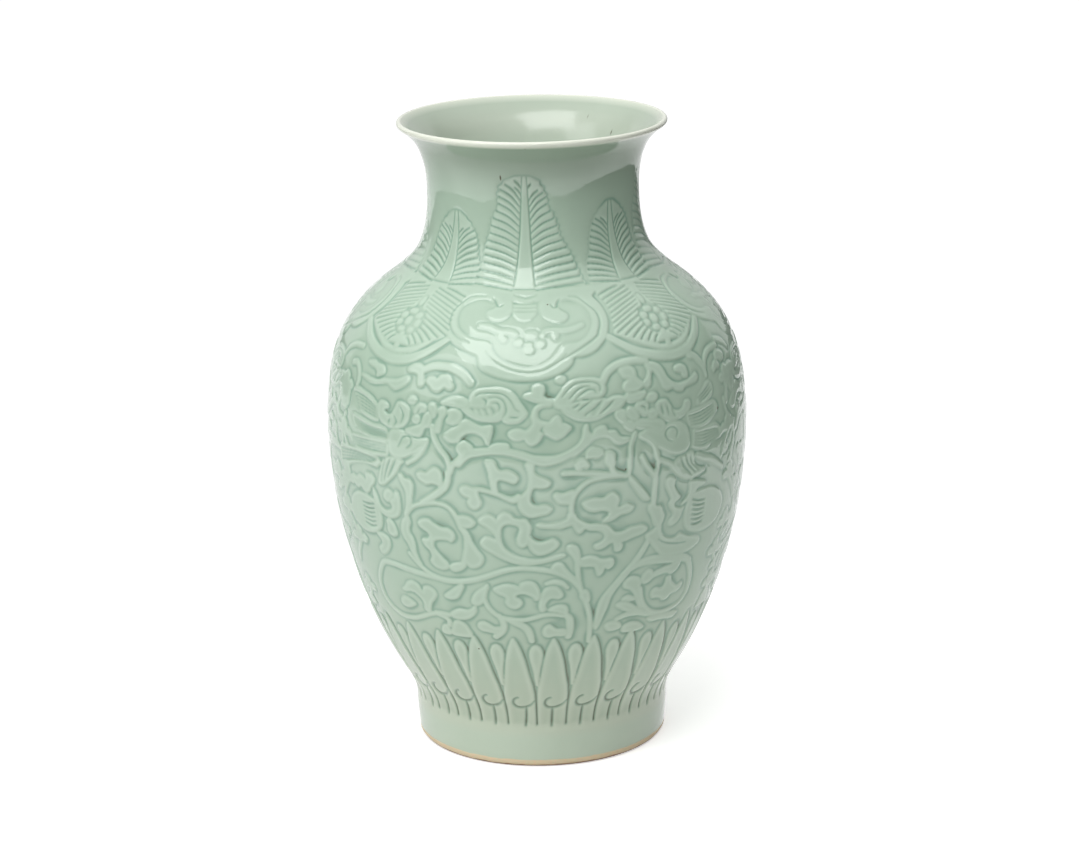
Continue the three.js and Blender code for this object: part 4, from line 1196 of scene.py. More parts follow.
def through_wall(z):
    """Where the inside of the wall is, square through the wall from the outside at heights z."""
    radius, slope = through_knots(OUTLINE, z)
    length = np.hypot(1, slope)
    wall = wall_at(z)
    return radius - wall / length, z + wall * slope / length


LIP_ROWS = 16
INNER_STEP = 3.0


def meridian():
    """The whole cross-section of the wall: up the outside, over the lip, and down the inside."""
    z_out, climb = outer_heights()
    r_out = through_knots(OUTLINE, z_out)[0]
    angle = (LIP_FROM + np.linspace(0, math.pi, LIP_ROWS + 2))[1:-1]
    r_lip = LIP_CENTRE[0] + LIP_ROUND * np.cos(angle)
    z_lip = LIP_CENTRE[1] + LIP_ROUND * np.sin(angle)
    stops = sorted({LIP_START[1], *JOINTS, *(z + SLIP for z in JOINTS), *(z + SLIP / 2 for z in JOINTS)})
    z_in = np.unique(np.concatenate([spaced(a, b, INNER_STEP) for a, b in zip(stops, stops[1:])]))[::-1]
    r_in, height_in = through_wall(z_in)
    for joint in JOINTS:
        r_in = np.where(np.abs(z_in - joint - SLIP / 2) < SAME, r_in - SLIP_BEAD, r_in)
    climb_lip = climb[-1] + np.arange(1, LIP_ROWS + 1) * LIP_ROUND * math.pi / (LIP_ROWS + 1)
    radius = np.concatenate([r_out, r_lip, r_in])
    height = np.concatenate([z_out, z_lip, height_in])
    level = np.concatenate([z_out, np.full(LIP_ROWS, np.nan), z_in])
    climb = np.concatenate([climb, climb_lip, climb_lip[-1] + HEIGHT - height_in])
    return radius, height, level, climb, len(z_out), len(z_out) + LIP_ROWS


def turned_grid(radius, height):
    """Points of a grid that runs all the way round, from radii and heights per row."""
    angle = np.radians(TURNS)
    shape = (len(radius), COLUMNS)
    radius = np.broadcast_to(radius.reshape(len(radius), -1), shape)
    height = np.broadcast_to(height.reshape(len(height), -1), shape)
    return np.stack([radius * np.sin(angle), -radius * np.cos(angle), height], -1)


def grid_normals(points):
    around = np.roll(points, -1, 1) - np.roll(points, 1, 1)
    up = np.empty_like(points)
    up[1:-1] = points[2:] - points[:-2]
    up[0] = points[1] - points[0]
    up[-1] = points[-1] - points[-2]
    normal = np.cross(around, up)
    return normal / np.maximum(np.linalg.norm(normal, axis=2, keepdims=True), 1e-9)


# Thrown by hand, so the outside wavers a little under the glaze: how many waves round, their slant and start
WAVER = 0.22
WAVES = [(2, 0.021, 1.0), (3, -0.035, 2.0), (5, 0.06, 0)]
WAVER_BEGINS = (FOOT_CLIMB, FOOT_CLIMB + 12)
WAVER_ENDS = (NECK_Z + 40, NECK_Z + 60)


def wavering(climb):
    """How far each point of the wall is off the round: nothing at the foot and at the mouth."""
    around = np.radians(TURNS)[None, :]
    waver = sum(np.sin(count * around + climb[:, None] * slant + start) for count, slant, start in WAVES) / 3
    fade = ease(*WAVER_BEGINS, climb) * (1 - ease(*WAVER_ENDS, climb))
    return WAVER * (waver - 1) * fade[:, None]


def moved_outwards(radius, height, offset):
    """The wall with each point moved square out of the outline."""
    along = np.stack([np.gradient(radius), np.gradient(height)], -1)
    along /= np.linalg.norm(along, axis=1, keepdims=True)
    outward = np.stack([along[:, 1], -along[:, 0]], -1)
    return turned_grid(radius[:, None] + outward[:, :1] * offset, height[:, None] + outward[:, 1:] * offset)


# The glaze runs off what stands above its surroundings, near and wide, and gathers in cuts and on the ground
NEAR_PASSES = 6
WIDE_PASSES = 40
RUNS_OFF_EDGES = 1.3
GATHERS_IN_CUTS = 0.5
THINNEST = -1
THICKEST = 1.4
# There is more of it on the neck and less on the foot. The shoulder is made paler too, as a painted
# highlight.
MORE_ON_NECK = 0.4
LESS_ON_FOOT = 0.3
FOOT_ENDS = (24, 27)
PAINTED_SHOULDER_HIGHLIGHT = 0.12
SHOULDER_BEGINS = (190, 200)
SHOULDER_ENDS = (285, 296)


def pooled_glaze(relief, climb):
    """Where the glaze lies thick, in the cuts and on the ground, and where it ran thin, on the edges."""
    near_level = spread(relief, NEAR_PASSES)
    wide_level = spread(near_level, WIDE_PASSES)
    pooled = wide_level - relief + RUNS_OFF_EDGES * (near_level - relief) - GATHERS_IN_CUTS * relief
    pooled = np.clip(pooled, THINNEST, THICKEST)
    pooled *= (1 + MORE_ON_NECK * ease(*NECK_BEGINS, climb))[:, None]
    on_foot = LESS_ON_FOOT * (1 - ease(*FOOT_ENDS, climb))
    # paler shoulder: painted highlight
    shoulder_highlight = PAINTED_SHOULDER_HIGHLIGHT * ease(*SHOULDER_BEGINS, climb) * (1 - ease(*SHOULDER_ENDS, climb))
    pooled -= (on_foot + shoulder_highlight)[:, None]
    return pooled


# Iron specks under the glaze: turn, climb, half the width and half the height in millimetres
SPECKS = [
    (-16.5, 357, 0.5, 1.8), (23.5, 190, 0.5, 0.7), (57.6, 210.4, 1.1, 0.9), (-20.5, 83, 0.6, 0.6),
    (4.8, 285.8, 0.6, 0.5), (-3, 379, 0.4, 0.4), (155.4, 397, 0.6, 0.9), (-152.3, 392.6, 0.7, 0.8),
    (-152.6, 396.6, 0.5, 0.7), (149, 395.3, 0.5, 0.7), (130, 400.7, 0.4, 1.2),
]


def iron_specks(radius, climb):
    speckled = np.zeros((len(climb), COLUMNS), np.float32)
    for turn, at, half_width, half_height in SPECKS:
        across = np.radians((TURNS - turn + 180) % 360 - 180)[None, :] * radius[:, None] / half_width
        upward = (climb[:, None] - at) / half_height
        speckled = np.maximum(speckled, np.exp(-across * across - upward * upward))
    return speckled


# The glaze is pale on the lip, from this far under it outside. Inside, for some way down, the glaze is made a
# little paler as painted light.
LIP_PALE = 2.9
PAINTED_LIGHT_INSIDE = 0.2
MORE_PAINTED_LIGHT_FURTHER_IN = 0.18
INNER_LIGHT_BEGINS = (3, 14)
INNER_LIGHT_ENDS = (30, 90)


def pale_shares_at_lip_and_inside(height, climb, outer_end, inner_start):
    pale = ease(climb[outer_end - 1] - LIP_PALE, climb[outer_end - 1], climb)
    depth = HEIGHT - height[inner_start:]
    # painted light inside the mouth
    painted_inner_light = PAINTED_LIGHT_INSIDE + MORE_PAINTED_LIGHT_FURTHER_IN * ease(*INNER_LIGHT_BEGINS, depth)
    pale[inner_start:] = np.maximum(1 - ease(0, 1, depth), painted_inner_light * (1 - ease(*INNER_LIGHT_ENDS, depth)))
    return pale


radius, height, level, climb, outer_end, inner_start = meridian()
relief = np.zeros((len(radius), COLUMNS), np.float32)
relief[:outer_end] = depth_of(carve(climb[:outer_end], radius[:outer_end]))
wall_points = moved_outwards(radius, height, relief + wavering(climb))
wall_normals = grid_normals(wall_points)
pooled = pooled_glaze(relief, climb)
speckled = iron_specks(radius, climb)
lip_and_inner_light = pale_shares_at_lip_and_inside(height, climb, outer_end, inner_start)


def quads_between(rows, closed):
    """The corners of the quads from each row to the next, where the last row may join the first."""
    row = np.arange(rows if closed else rows - 1)[:, None]
    column = np.arange(COLUMNS)[None, :]
    after = (row + 1) % rows
    beside = (column + 1) % COLUMNS
    corners = [(row, column), (row, beside), (after, beside), (after, column)]
    return np.stack([at_row * COLUMNS + at_column for at_row, at_column in corners], -1).reshape(-1, 4)


def corner_normals(vertices, quads, normals, flat_rows):
    """Smooth normals for the corners of the quads, but those of the quads themselves on joint faces."""
    corner = np.array(normals.reshape(-1, 3)[quads])
    across = vertices[quads[:, 2]] - vertices[quads[:, 0]]
    other = vertices[quads[:, 3]] - vertices[quads[:, 1]]
    face = np.cross(across, other)
    face /= np.maximum(np.linalg.norm(face, axis=1, keepdims=True), 1e-12)
    flat = np.isin(np.arange(len(quads)) // COLUMNS, flat_rows)
    corner[flat] = face[flat][:, None, :]
    return corner.reshape(-1, 3)


def strips_of_map(points, strips):
    """Map places of the corners of the quads: once round for each strip, and as high as the strip is wide."""
    length = np.linalg.norm(np.diff(np.vstack([points[:, 0], points[:1, 0]]), axis=0), axis=1)
    run = np.concatenate([[0], np.cumsum(length)])
    run /= run[-1]
    low = np.broadcast_to(run[:strips, None], (strips, COLUMNS))
    high = np.broadcast_to(run[1:strips + 1, None], (strips, COLUMNS))
    left = np.broadcast_to(np.arange(COLUMNS) / COLUMNS, (strips, COLUMNS))
    right = left + 1 / COLUMNS
    corners = [(left, low), (right, low), (right, high), (left, high)]
    return np.stack([np.stack(place, -1) for place in corners], -2).reshape(-1, 2)


def closing_fans(points):
    """A point on the axis at both ends, the triangles round each, and the normals of their corners."""
    rows = len(points)
    middles = [[0, 0, points[0, 0, 2]], [0, 0, points[-1, 0, 2]]]
    column = np.arange(COLUMNS)
    beside = (column + 1) % COLUMNS
    first = np.stack([beside, column, np.full(COLUMNS, rows * COLUMNS)], -1)
    last = (rows - 1) * COLUMNS
    second = np.stack([last + column, last + beside, np.full(COLUMNS, rows * COLUMNS + 1)], -1)
    normals = np.repeat([[0, 0, -1.0], [0, 0, 1.0]], COLUMNS * 3, axis=0)
    return middles, np.vstack([first, second]), normals


def mark_creases(mesh, flat_rows, rows):
    """Sharp edges where a joint face meets the outside or the inside."""
    ends = np.empty(len(mesh.edges) * 2, np.int32)
    mesh.edges.foreach_get("vertices", ends)
    at_row = ends.reshape(-1, 2) // COLUMNS
    rims = [i for row in flat_rows for i in (row, (row + 1) % rows)]
    sharp = (at_row[:, 0] == at_row[:, 1]) & np.isin(at_row[:, 0], rims)
    mesh.attributes.new("sharp_edge", "BOOLEAN", "EDGE").data.foreach_set("value", sharp)


def make_mesh(name, points, normals, flat_rows, closed, values):
    """A shell from rows of points that run all the way round, with a strip of map for each row.

    Rows in flat_rows are the starts of joint faces, which are shaded flat. A shell that isn't closed in its
    cross-section is closed by a point on the axis at both ends.
    """
    vertices = points.reshape(-1, 3)
    quads = quads_between(len(points), closed)
    corner = corner_normals(vertices, quads, normals, flat_rows)
    uv = strips_of_map(points, len(quads) // COLUMNS)
    loops = quads.reshape(-1)
    starts = np.arange(0, len(loops), 4)
    if not closed:
        middles, fans, fan_normals = closing_fans(points)
        vertices = np.vstack([vertices, middles])
        corner = np.vstack([corner, fan_normals])
        uv = np.vstack([uv, 0.5 + vertices[fans.reshape(-1)][:, :2] / (4 * BASE_RADIUS)])
        starts = np.concatenate([starts, len(loops) + np.arange(0, fans.size, 3)])
        loops = np.concatenate([loops, fans.reshape(-1)])
        values = {key: np.append(value, [value.flat[-1]] * len(middles)) for key, value in values.items()}
    mesh = bpy.data.meshes.new(name)
    mesh.vertices.add(len(vertices))
    mesh.vertices.foreach_set("co", (vertices * MM).astype(np.float32).ravel())
    mesh.loops.add(len(loops))
    mesh.loops.foreach_set("vertex_index", loops.astype(np.int32))
    mesh.polygons.add(len(starts))
    mesh.polygons.foreach_set("loop_start", starts.astype(np.int32))
    mesh.update(calc_edges=True)
    mark_creases(mesh, flat_rows, len(points))
    layer = mesh.uv_layers.new(name="OFBake")
    layer.uv.foreach_set("vector", uv.astype(np.float32).ravel())
    for key, value in values.items():
        attribute = mesh.attributes.new(key, "FLOAT", "POINT")
        attribute.data.foreach_set("value", np.ascontiguousarray(value, np.float32).ravel())
    shading = mesh.attributes.new("custom_normal", "FLOAT_VECTOR", "CORNER")
    shading.data.foreach_set("vector", corner.astype(np.float32).ravel())
    mesh.update()
    return mesh


def add_piece(name, node, mesh, material):
    piece = bpy.data.objects.new(name, mesh)
    bpy.context.scene.collection.objects.link(piece)
    mesh.materials.append(material)
    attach(piece, "root")
    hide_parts(node)


def rows_between(low, high):
    """Rows of the outside and of the inside between two joints."""
    up = [i for i in range(outer_end) if low - SAME <= level[i] <= high + SAME]
    down = [i for i in range(inner_start, len(level)) if low - SAME <= level[i] <= high + SAME]
    return up, down


def wall_piece(name, node, low, high, material):
    up, down = rows_between(low, high)
    lip = list(range(outer_end, inner_start)) if high >= LIP_START[1] else []
    rows = up + lip + down
    values = {
        "pooled": pooled[rows],
        # the lip share is also the painted light inside the mouth
        "lip": np.repeat(lip_and_inner_light[rows][:, None], COLUMNS, 1),
        "speckled": speckled[rows],
        "inside": np.repeat((np.array(rows) >= inner_start)[:, None], COLUMNS, 1),
    }
    flat = [len(rows) - 1] + ([] if lip else [len(up) - 1])
    mesh = make_mesh(name, wall_points[rows], wall_normals[rows], flat, True, values)
    add_piece(name, node, mesh, material)


FOOT_ROW = 0.8
FOOT_CORNER = 0.9
CORNER_POINTS = 5
BASE_RINGS = (20, 40, 60)


def rounded(profile, reach):
    """A closed profile of radius and height with its corners rounded."""
    p = np.array(profile, float)
    out = []
    for before, corner, after in zip(np.roll(p, 1, 0), p, np.roll(p, -1, 0)):
        a = corner + (before - corner) * min(0.45, reach / np.linalg.norm(before - corner))
        b = corner + (after - corner) * min(0.45, reach / np.linalg.norm(after - corner))
        for t in np.linspace(0, 1, CORNER_POINTS):
            out.append((1 - t) ** 2 * a + 2 * t * (1 - t) * corner + t * t * b)
    return np.array(out)


def turned_piece(name, mesh_name, node, points, normals, flat_rows, closed, material):
    nothing = np.zeros((len(points), COLUMNS), np.float32)
    values = {"pooled": nothing - LESS_ON_FOOT, "lip": nothing, "speckled": nothing, "inside": nothing}
    mesh = make_mesh(mesh_name, points, normals, flat_rows, closed, values)
    add_piece(name, node, mesh, material)


def foot_ring(material):
    """The shin outside, then the rounded ledge, recess, running edge and bevel, back to the shin."""
    shin = spaced(FOOT_BEVEL_TOP, FOOT_HEIGHT, FOOT_ROW)
    outside = np.stack([through_knots(SHIN, shin)[0], shin], -1)
    inside = rounded([
        (LEDGE_RADIUS, FOOT_HEIGHT),
        (LEDGE_RADIUS, BASE_RECESS),
        (RECESS_RADIUS, BASE_RECESS),
        (RECESS_RADIUS, 0),
        (FOOT_RADIUS, 0),
        (FOOT_RADIUS + FOOT_BEVEL, FOOT_BEVEL_TOP),
    ], FOOT_CORNER)[2:-3]
    profile = np.vstack([outside, inside])
    points = turned_grid(profile[:, 0], profile[:, 1])
    normals = grid_normals(np.vstack([points[-1:], points, points[:1]]))[1:-1]
    seat = len(shin) - 1
    normals[seat] = grid_normals(points[:len(shin)])[-1]
    turned_piece("glazed_foot_ring", "foot_ring", "foot_ring", points, normals, [seat], True, material)


def base_disc(material):
    under = [(radius, BASE_Z) for radius in (*BASE_RINGS, BASE_RADIUS)]
    profile = np.array(under + [(radius, FLOOR_Z) for radius, _ in under[::-1]])
    points = turned_grid(profile[:, 0], profile[:, 1])
    flat_rows = list(range(len(points) - 1))
    turned_piece("thrown_base", "base", "base_disc", points, grid_normals(points), flat_rows, False, material)


def base_luting(material):
    profile = np.array([
        (RECESS_RADIUS, BASE_RECESS),
        (LEDGE_RADIUS, BASE_RECESS),
        (LEDGE_RADIUS, FLOOR_Z),
        (BASE_RADIUS, FLOOR_Z),
        (BASE_RADIUS, BASE_Z),
        (RECESS_RADIUS, BASE_Z),
    ])
    points = turned_grid(profile[:, 0], profile[:, 1])
    flat_rows = list(range(len(points)))
    turned_piece("slip_under_base", "slip_bed", "base_luting", points, grid_normals(points), flat_rows, True,
                 material)


class Shader:
    """A node tree, and one way to put a node in it."""

    def __init__(self, tree):
        self.tree = tree

    def node(self, kind, settings=None, values=(), **inputs):
        """A node with its settings, then what goes into its sockets, in their order or by their names."""
        made = self.tree.nodes.new(kind)
        for key, value in (settings or {}).items():
            setattr(made, key, value)
        for socket, value in zip(made.inputs, values):
            self.join(socket, value)
        for key, value in inputs.items():
            self.join(made.inputs[key.replace("_", " ")], value)
        return made

    def join(self, socket, value):
        if isinstance(value, Number):
            value = value.socket
        if isinstance(value, bpy.types.NodeSocket):
            self.tree.links.new(value, socket)
        else:
            socket.default_value = value

    def blend(self, share, low, high, blend_type="MIX"):
        """A colour between two colours."""
        made = self.node("ShaderNodeMix", {"data_type": "RGBA", "blend_type": blend_type})
        for index, value in ((0, share), (6, low), (7, high)):
            self.join(made.inputs[index], value)
        return made.outputs[2]

    def tinted(self, share, colour, tint):
        """The colour, and by this share the colour times the tint."""
        return self.blend(share, colour, tint, "MULTIPLY")

    def either(self, share, first, second):
        """The first finish, and by this share the second."""
        return self.node("ShaderNodeMixShader", None, (share, first, second)).outputs[0]

    def noise(self, place, scale, detail=2.0):
        made = self.node("ShaderNodeTexNoise", Vector=place, Scale=scale, Detail=detail)
        return Number(self, made.outputs["Fac"])

    def attribute(self, name):
        return Number(self, self.node("ShaderNodeAttribute", {"attribute_name": name}).outputs["Fac"])

    def along(self, place, axis):
        return Number(self, self.node("ShaderNodeSeparateXYZ", Vector=place).outputs[axis])

    def length(self, place):
        made = self.node("ShaderNodeVectorMath", {"operation": "LENGTH"}, Vector=place)
        return Number(self, made.outputs["Value"])

    def ray(self, kind):
        return Number(self, self.node("ShaderNodeLightPath").outputs[kind])


class Number:
    """A number that runs through a node tree, so that shader maths reads as maths."""

    def __init__(self, shader, socket):
        self.shader = shader
        self.socket = socket

    def _maths(self, operation, *values):
        made = self.shader.node("ShaderNodeMath", {"operation": operation}, values)
        return Number(self.shader, made.outputs[0])

    def __add__(self, other):
        return self._maths("ADD", self, other)

    __radd__ = __add__

    def __sub__(self, other):
        return self._maths("SUBTRACT", self, other)

    def __rsub__(self, other):
        return self._maths("SUBTRACT", other, self)

    def __mul__(self, other):
        return self._maths("MULTIPLY", self, other)

    __rmul__ = __mul__

    def steps(self, low, high):
        """0 below low, 1 above high, smooth between them."""
        made = self.shader.node("ShaderNodeMapRange", {"interpolation_type": "SMOOTHSTEP"}, Value=self,
                                From_Min=low, From_Max=high)
        return Number(self.shader, made.outputs[0])


def paint(red, green, blue):
    """A colour as it is read on a screen, for a shader."""
    def linear(value):
        value /= 255
        return value / 12.92 if value <= 0.04045 else ((value + 0.055) / 1.055) ** 2.4
    return (linear(red), linear(green), linear(blue), 1)


WHITE = (1, 1, 1, 1)
THIN_GLAZE = paint(182, 203, 185)
GLAZE = paint(173, 195, 176)
THICK_GLAZE = paint(140, 170, 151)
# pale glaze of the lip, also used as painted light inside the mouth
PALE_LIP_AND_LIT_INSIDE = paint(222, 226, 212)
# pooled glaze in crevices, darkened with painted shade
SHADED_CREVICE_GLAZE = paint(104, 118, 98)
# painted reflection of the white table, as a warm tint low on the body
WARM_TABLE_REFLECTION = (1.12, 1.0, 0.985, 1)
# painted shade for the underside of the lip and the top of the inside
PAINTED_SHADE_UNDER_LIP = (0.76, 0.73, 0.72, 1)
BARE_CLAY = paint(216, 202, 168)
REDDER_CLAY = paint(222, 198, 165)
# iron-brown clay and dirt at the running edge, with painted contact shadow
BROWN_EDGE_AND_CONTACT_SHADE = paint(122, 84, 52)
SPECK = paint(84, 78, 58)
GLAZE_IOR = 1.5
GLAZE_ROUGHNESS = 0.05
ROUGHER_INSIDE = 0.12
ROUGHER_BARE = 0.6
# How thick the glaze is where one of its tones runs into the next
THIN_TO_GLAZE = (-0.35, 0.05)
GLAZE_TO_THICK = (0.0, 0.75)
THICK_TO_CREVICE = (0.7, 1.3)
SPECK_EDGE = (0.2, 0.8)
# Unevenness of the finish: how fine it is, then how strong
CLOUD_SCALE = 9.0
CLOUD_STRENGTH = 0.5
CAST_SCALE = 55.0
CAST_STRENGTH = 0.25
CAST_IN_GLOSS = 0.04
NOISE_DETAIL = 3.0
RIPPLE_SCALE = 160.0
RIPPLE_STRENGTH = 0.12
RIPPLE_HEIGHT = 0.0006
WHEEL_SCALE = 12.0
WHEEL_STRENGTH = 6.0
WHEEL_PRESSED_FLAT = (1, 1, 6)
GRAIN_SCALE = 700.0
GRAIN = (0.35, 0.7)
# Heights and distances on the vase, in metres, over which one tone runs into the next
GLAZE_ENDS = (0.0038, 0.0044)
GLAZE_END_SCALE = 120.0
GLAZE_END_WANDERS = 0.0012
BROWN_EDGE_ENDS = (0.0007, 0.0014)
BROWN_EDGE_OUTSIDE = (0.0655, 0.0675)
WARMER_ENDS = (0.02, 0.12)
FOOT_TOP = (0.016, 0.022)
WARMER_ON_FOOT = 0.65
UNDER_LIP = (0.31, 0.345)


def glaze_colour(shader, place, height, cast):
    """Pale where the glaze ran thin, green where it pooled, and nearly grey in the deepest crevices, where
    the pooled glaze is darkened with painted shade.
    """
    cloud = shader.noise(place, CLOUD_SCALE, NOISE_DETAIL)
    thick = shader.attribute("pooled") + (cloud - 0.5) * CLOUD_STRENGTH + (cast - 0.5) * CAST_STRENGTH
    colour = shader.blend(thick.steps(*THIN_TO_GLAZE), THIN_GLAZE, GLAZE)
    colour = shader.blend(thick.steps(*GLAZE_TO_THICK), colour, THICK_GLAZE)
    # the deepest crevices take painted shade over the pooled glaze
    colour = shader.blend(thick.steps(*THICK_TO_CREVICE), colour, SHADED_CREVICE_GLAZE)
    # Warmer tint towards the bottom, less on the foot: painted reflection of the bright white table
    above_foot = height.steps(*FOOT_TOP) * (1 - WARMER_ON_FOOT) + WARMER_ON_FOOT
    low = (1.0 - height.steps(*WARMER_ENDS)) * above_foot
    colour = shader.tinted(low, colour, WARM_TABLE_REFLECTION)
    # Painted shade under the overhanging lip, which also darkens the top of the inside at the same heights
    colour = shader.tinted(height.steps(*UNDER_LIP), colour, PAINTED_SHADE_UNDER_LIP)
    # Pale thin glaze on the lip, and painted light some way down inside the mouth
    colour = shader.blend(shader.attribute("lip"), colour, PALE_LIP_AND_LIT_INSIDE)
    return shader.blend(shader.attribute("speckled").steps(*SPECK_EDGE), colour, SPECK)


def bare_running_edge(shader, place, height, colour, rough):
    """Below the end of the glaze the clay is bare, with a brown line where it stands: iron-brown clay and
    dirt, darkened further as painted contact shadow.
    """
    edge = height + (shader.noise(place, GLAZE_END_SCALE) - 0.5) * GLAZE_END_WANDERS
    bare = 1.0 - edge.steps(*GLAZE_ENDS)
    clay = shader.blend(shader.noise(place, GRAIN_SCALE).steps(*GRAIN), BARE_CLAY, REDDER_CLAY)
    # brown line at the outer edge: iron-brown clay and dirt, with painted contact shadow
    brown_edge = (1.0 - edge.steps(*BROWN_EDGE_ENDS)) * shader.length(place).steps(*BROWN_EDGE_OUTSIDE)
    clay = shader.blend(brown_edge, clay, BROWN_EDGE_AND_CONTACT_SHADE)
    return shader.blend(bare, colour, clay), rough + bare * ROUGHER_BARE


def glaze(name, bare_foot=False):
    material = bpy.data.materials.new(name)
    material.use_nodes = True
    shader = Shader(material.node_tree)
    surface = material.node_tree.nodes["Principled BSDF"]
    place = shader.node("ShaderNodeTexCoord").outputs["Object"]
    height = shader.along(place, "Z")
    cast = shader.noise(place, CAST_SCALE, NOISE_DETAIL)
    inside = shader.attribute("inside")
    rough = (cast - 0.5) * CAST_IN_GLOSS + GLAZE_ROUGHNESS + inside * ROUGHER_INSIDE
    colour = glaze_colour(shader, place, height, cast)
    if bare_foot:
        colour, rough = bare_running_edge(shader, place, height, colour, rough)
    shader.join(surface.inputs["Base Color"], colour)
    shader.join(surface.inputs["Roughness"], rough)
    surface.inputs["IOR"].default_value = GLAZE_IOR
    # noise pressed flat makes the rings that the wheel left inside
    flattened = shader.node("ShaderNodeMapping", Vector=place, Scale=WHEEL_PRESSED_FLAT).outputs["Vector"]
    wheel_marks = shader.noise(flattened, WHEEL_SCALE) * inside * WHEEL_STRENGTH
    ripple = shader.noise(place, RIPPLE_SCALE) + wheel_marks
    bump = shader.node("ShaderNodeBump", Strength=RIPPLE_STRENGTH, Distance=RIPPLE_HEIGHT, Height=ripple)
    shader.join(surface.inputs["Normal"], bump.outputs["Normal"])
    return material


body_glaze = glaze("celadon_glaze")
foot_glaze = glaze("celadon_glaze_and_bare_edge", bare_foot=True)

foot_ring(foot_glaze)
base_luting(body_glaze)
base_disc(body_glaze)
wall_piece("wiped_foot_joint", "foot_luting", JOINTS[0], JOINTS[0] + SLIP, body_glaze)
wall_piece("carved_lower_body", "lower_body", JOINTS[0] + SLIP, JOINTS[1], body_glaze)
wall_piece("wiped_waist_joint", "waist_luting", JOINTS[1], JOINTS[1] + SLIP, body_glaze)
wall_piece("carved_upper_body", "upper_body", JOINTS[1] + SLIP, JOINTS[2], body_glaze)
wall_piece("wiped_neck_joint", "neck_luting", JOINTS[2], JOINTS[2] + SLIP, body_glaze)
wall_piece("carved_neck_and_lip", "neck", JOINTS[2] + SLIP, LIP_START[1], body_glaze)


# Lamps, in metres and watts: a window from the front left, and a soft one above
LIGHT_AIM = (0, 0, 0.18)
WINDOW_AT = (-1.6, -0.9, 1.1)
WINDOW_SIZE = (1.2, 1.2)
WINDOW_WATTS = 9.6
SOFT_TOP_AT = (-0.4, -0.85, 1.7)
SOFT_TOP_SIZE = (1.4, 1.0)
SOFT_TOP_WATTS = 18.7


def lamp(name, at, size, watts):
    data = bpy.data.lights.new(name, "AREA")
    data.shape = "RECTANGLE"
    data.size, data.size_y = size
    data.energy = watts
    light = bpy.data.objects.new(name, data)
    light.location = at
    aim = (Vector(LIGHT_AIM) - Vector(at)).to_track_quat("-Z", "Y")
    light.rotation_euler = aim.to_euler()
    bpy.context.scene.collection.objects.link(light)


lamp("window_left", WINDOW_AT, WINDOW_SIZE, WINDOW_WATTS)
lamp("soft_top", SOFT_TOP_AT, SOFT_TOP_SIZE, SOFT_TOP_WATTS)

# The table is white paper. The camera sees it fade to white away from the foot. In the glaze it shows as a
# bright table with edges, and what lies beyond them is dark.
FLOOR_HALF = 6.0
FLOOR_UNDER = -0.0002
PAPER = (0.9, 0.9, 0.89, 1)
PAPER_GLOW = 0.45
WHITE_GLOW = 1.05
FADES = (0.18, 0.42)
BEYOND_TABLE = (0.06, 0.06, 0.06, 1)
TABLE_LEFT = (-1.24, -1.2)
TABLE_RIGHT = (0.6, 0.62)
TABLE_FRONT = (-0.89, -0.86)
TABLE_SHINE = 1.0
MORE_SHINE = 0.9
MORE_SHINE_FROM = (0.3, 0.6)
MORE_SHINE_BEFORE = (-0.1, 0.3)


def table_in_the_glaze(shader, place, distance, paper):
    aside = shader.along(place, "X")
    back = shader.along(place, "Y")
    on_table = aside.steps(*TABLE_LEFT) * (1.0 - aside.steps(*TABLE_RIGHT)) * back.steps(*TABLE_FRONT)
    more = distance.steps(*MORE_SHINE_FROM) * (1.0 - back.steps(*MORE_SHINE_BEFORE)) * MORE_SHINE
    shine = shader.node("ShaderNodeEmission", Color=WHITE, Strength=more + TABLE_SHINE)
    lit = shader.either(shader.ray("Is Glossy Ray"), paper, shine.outputs[0])
    beyond = shader.node("ShaderNodeBsdfDiffuse", Color=BEYOND_TABLE)
    return shader.either(on_table, beyond.outputs[0], lit)


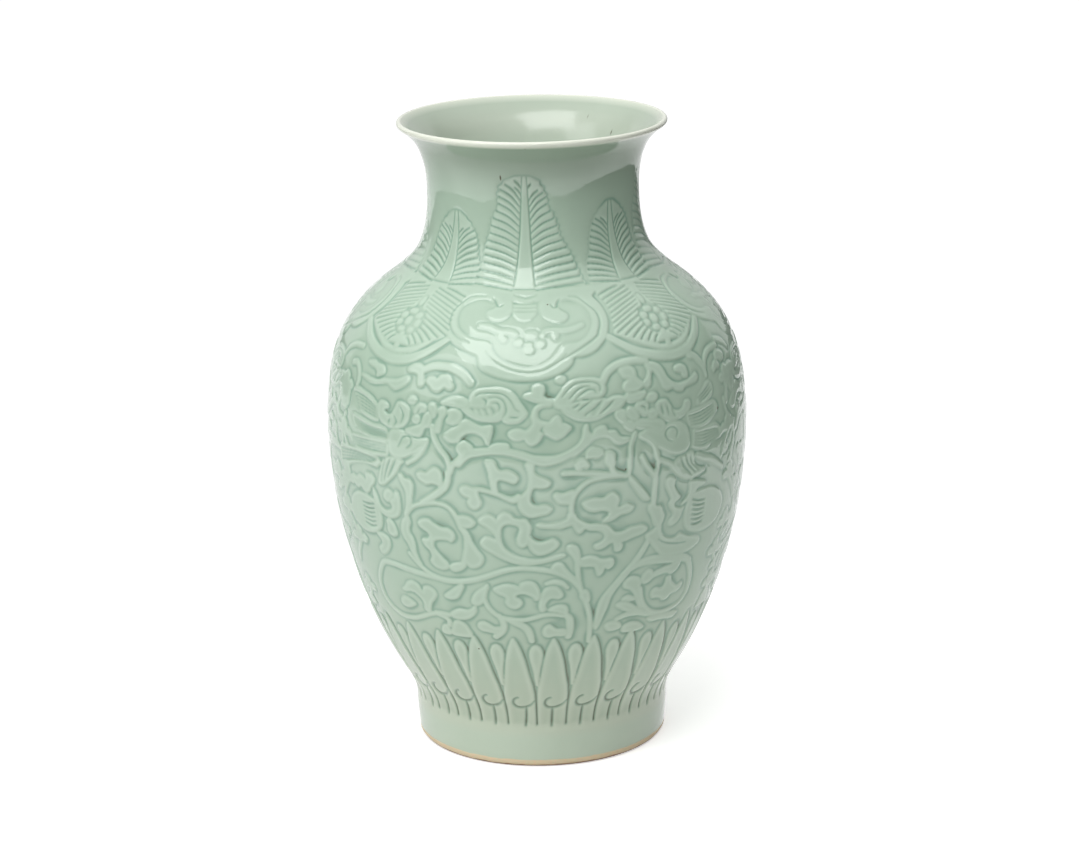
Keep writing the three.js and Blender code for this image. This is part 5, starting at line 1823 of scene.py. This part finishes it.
def white_paper():
    material = bpy.data.materials.new("white_paper")
    material.use_nodes = True
    tree = material.node_tree
    tree.nodes.remove(tree.nodes["Principled BSDF"])
    shader = Shader(tree)
    place = shader.node("ShaderNodeTexCoord").outputs["Object"]
    distance = shader.length(place)
    paper = shader.node("ShaderNodeBsdfDiffuse", Color=PAPER).outputs[0]
    glow = shader.node("ShaderNodeEmission", Color=WHITE, Strength=PAPER_GLOW).outputs[0]
    glowing_paper = shader.node("ShaderNodeAddShader", None, (paper, glow)).outputs[0]
    white = shader.node("ShaderNodeEmission", Color=WHITE, Strength=WHITE_GLOW).outputs[0]
    seen = shader.either(distance.steps(*FADES), glowing_paper, white)
    table = table_in_the_glaze(shader, place, distance, paper)
    finish = shader.either(shader.ray("Is Camera Ray"), table, seen)
    shader.join(tree.nodes["Material Output"].inputs["Surface"], finish)
    return material


def make_floor():
    mesh = bpy.data.meshes.new("floor")
    corners = [(x * FLOOR_HALF, y * FLOOR_HALF, FLOOR_UNDER) for x, y in ((-1, -1), (1, -1), (1, 1), (-1, 1))]
    mesh.from_pydata(corners, [], [(0, 1, 2, 3)])
    mesh.materials.append(white_paper())
    floor = bpy.data.objects.new("floor", mesh)
    bpy.context.scene.collection.objects.link(floor)


make_floor()

# The room: a pale wall behind, a bright ceiling, and nothing else. The camera sees plain white.
BACKDROP = 0.63
BACKDROP_FROM = (0.60, 0.68)
CEILING = 1.03
CEILING_FROM = (0.35, 0.8)


def make_room():
    world = bpy.data.worlds.new("pale_room")
    bpy.context.scene.world = world
    world.use_nodes = True
    tree = world.node_tree
    shader = Shader(tree)
    way = shader.node("ShaderNodeTexCoord").outputs["Generated"]
    behind = shader.along(way, "Y").steps(*BACKDROP_FROM)
    above = shader.along(way, "Z").steps(*CEILING_FROM)
    background = tree.nodes["Background"]
    shader.join(background.inputs["Color"], WHITE)
    shader.join(background.inputs["Strength"], behind * BACKDROP + above * (1.0 - behind) * CEILING)
    white = shader.node("ShaderNodeBackground", Color=WHITE, Strength=1.0)
    finish = shader.either(shader.ray("Is Camera Ray"), background.outputs[0], white.outputs[0])
    shader.join(tree.nodes["World Output"].inputs["Surface"], finish)


make_room()
bpy.context.scene.view_settings.view_transform = "Standard"
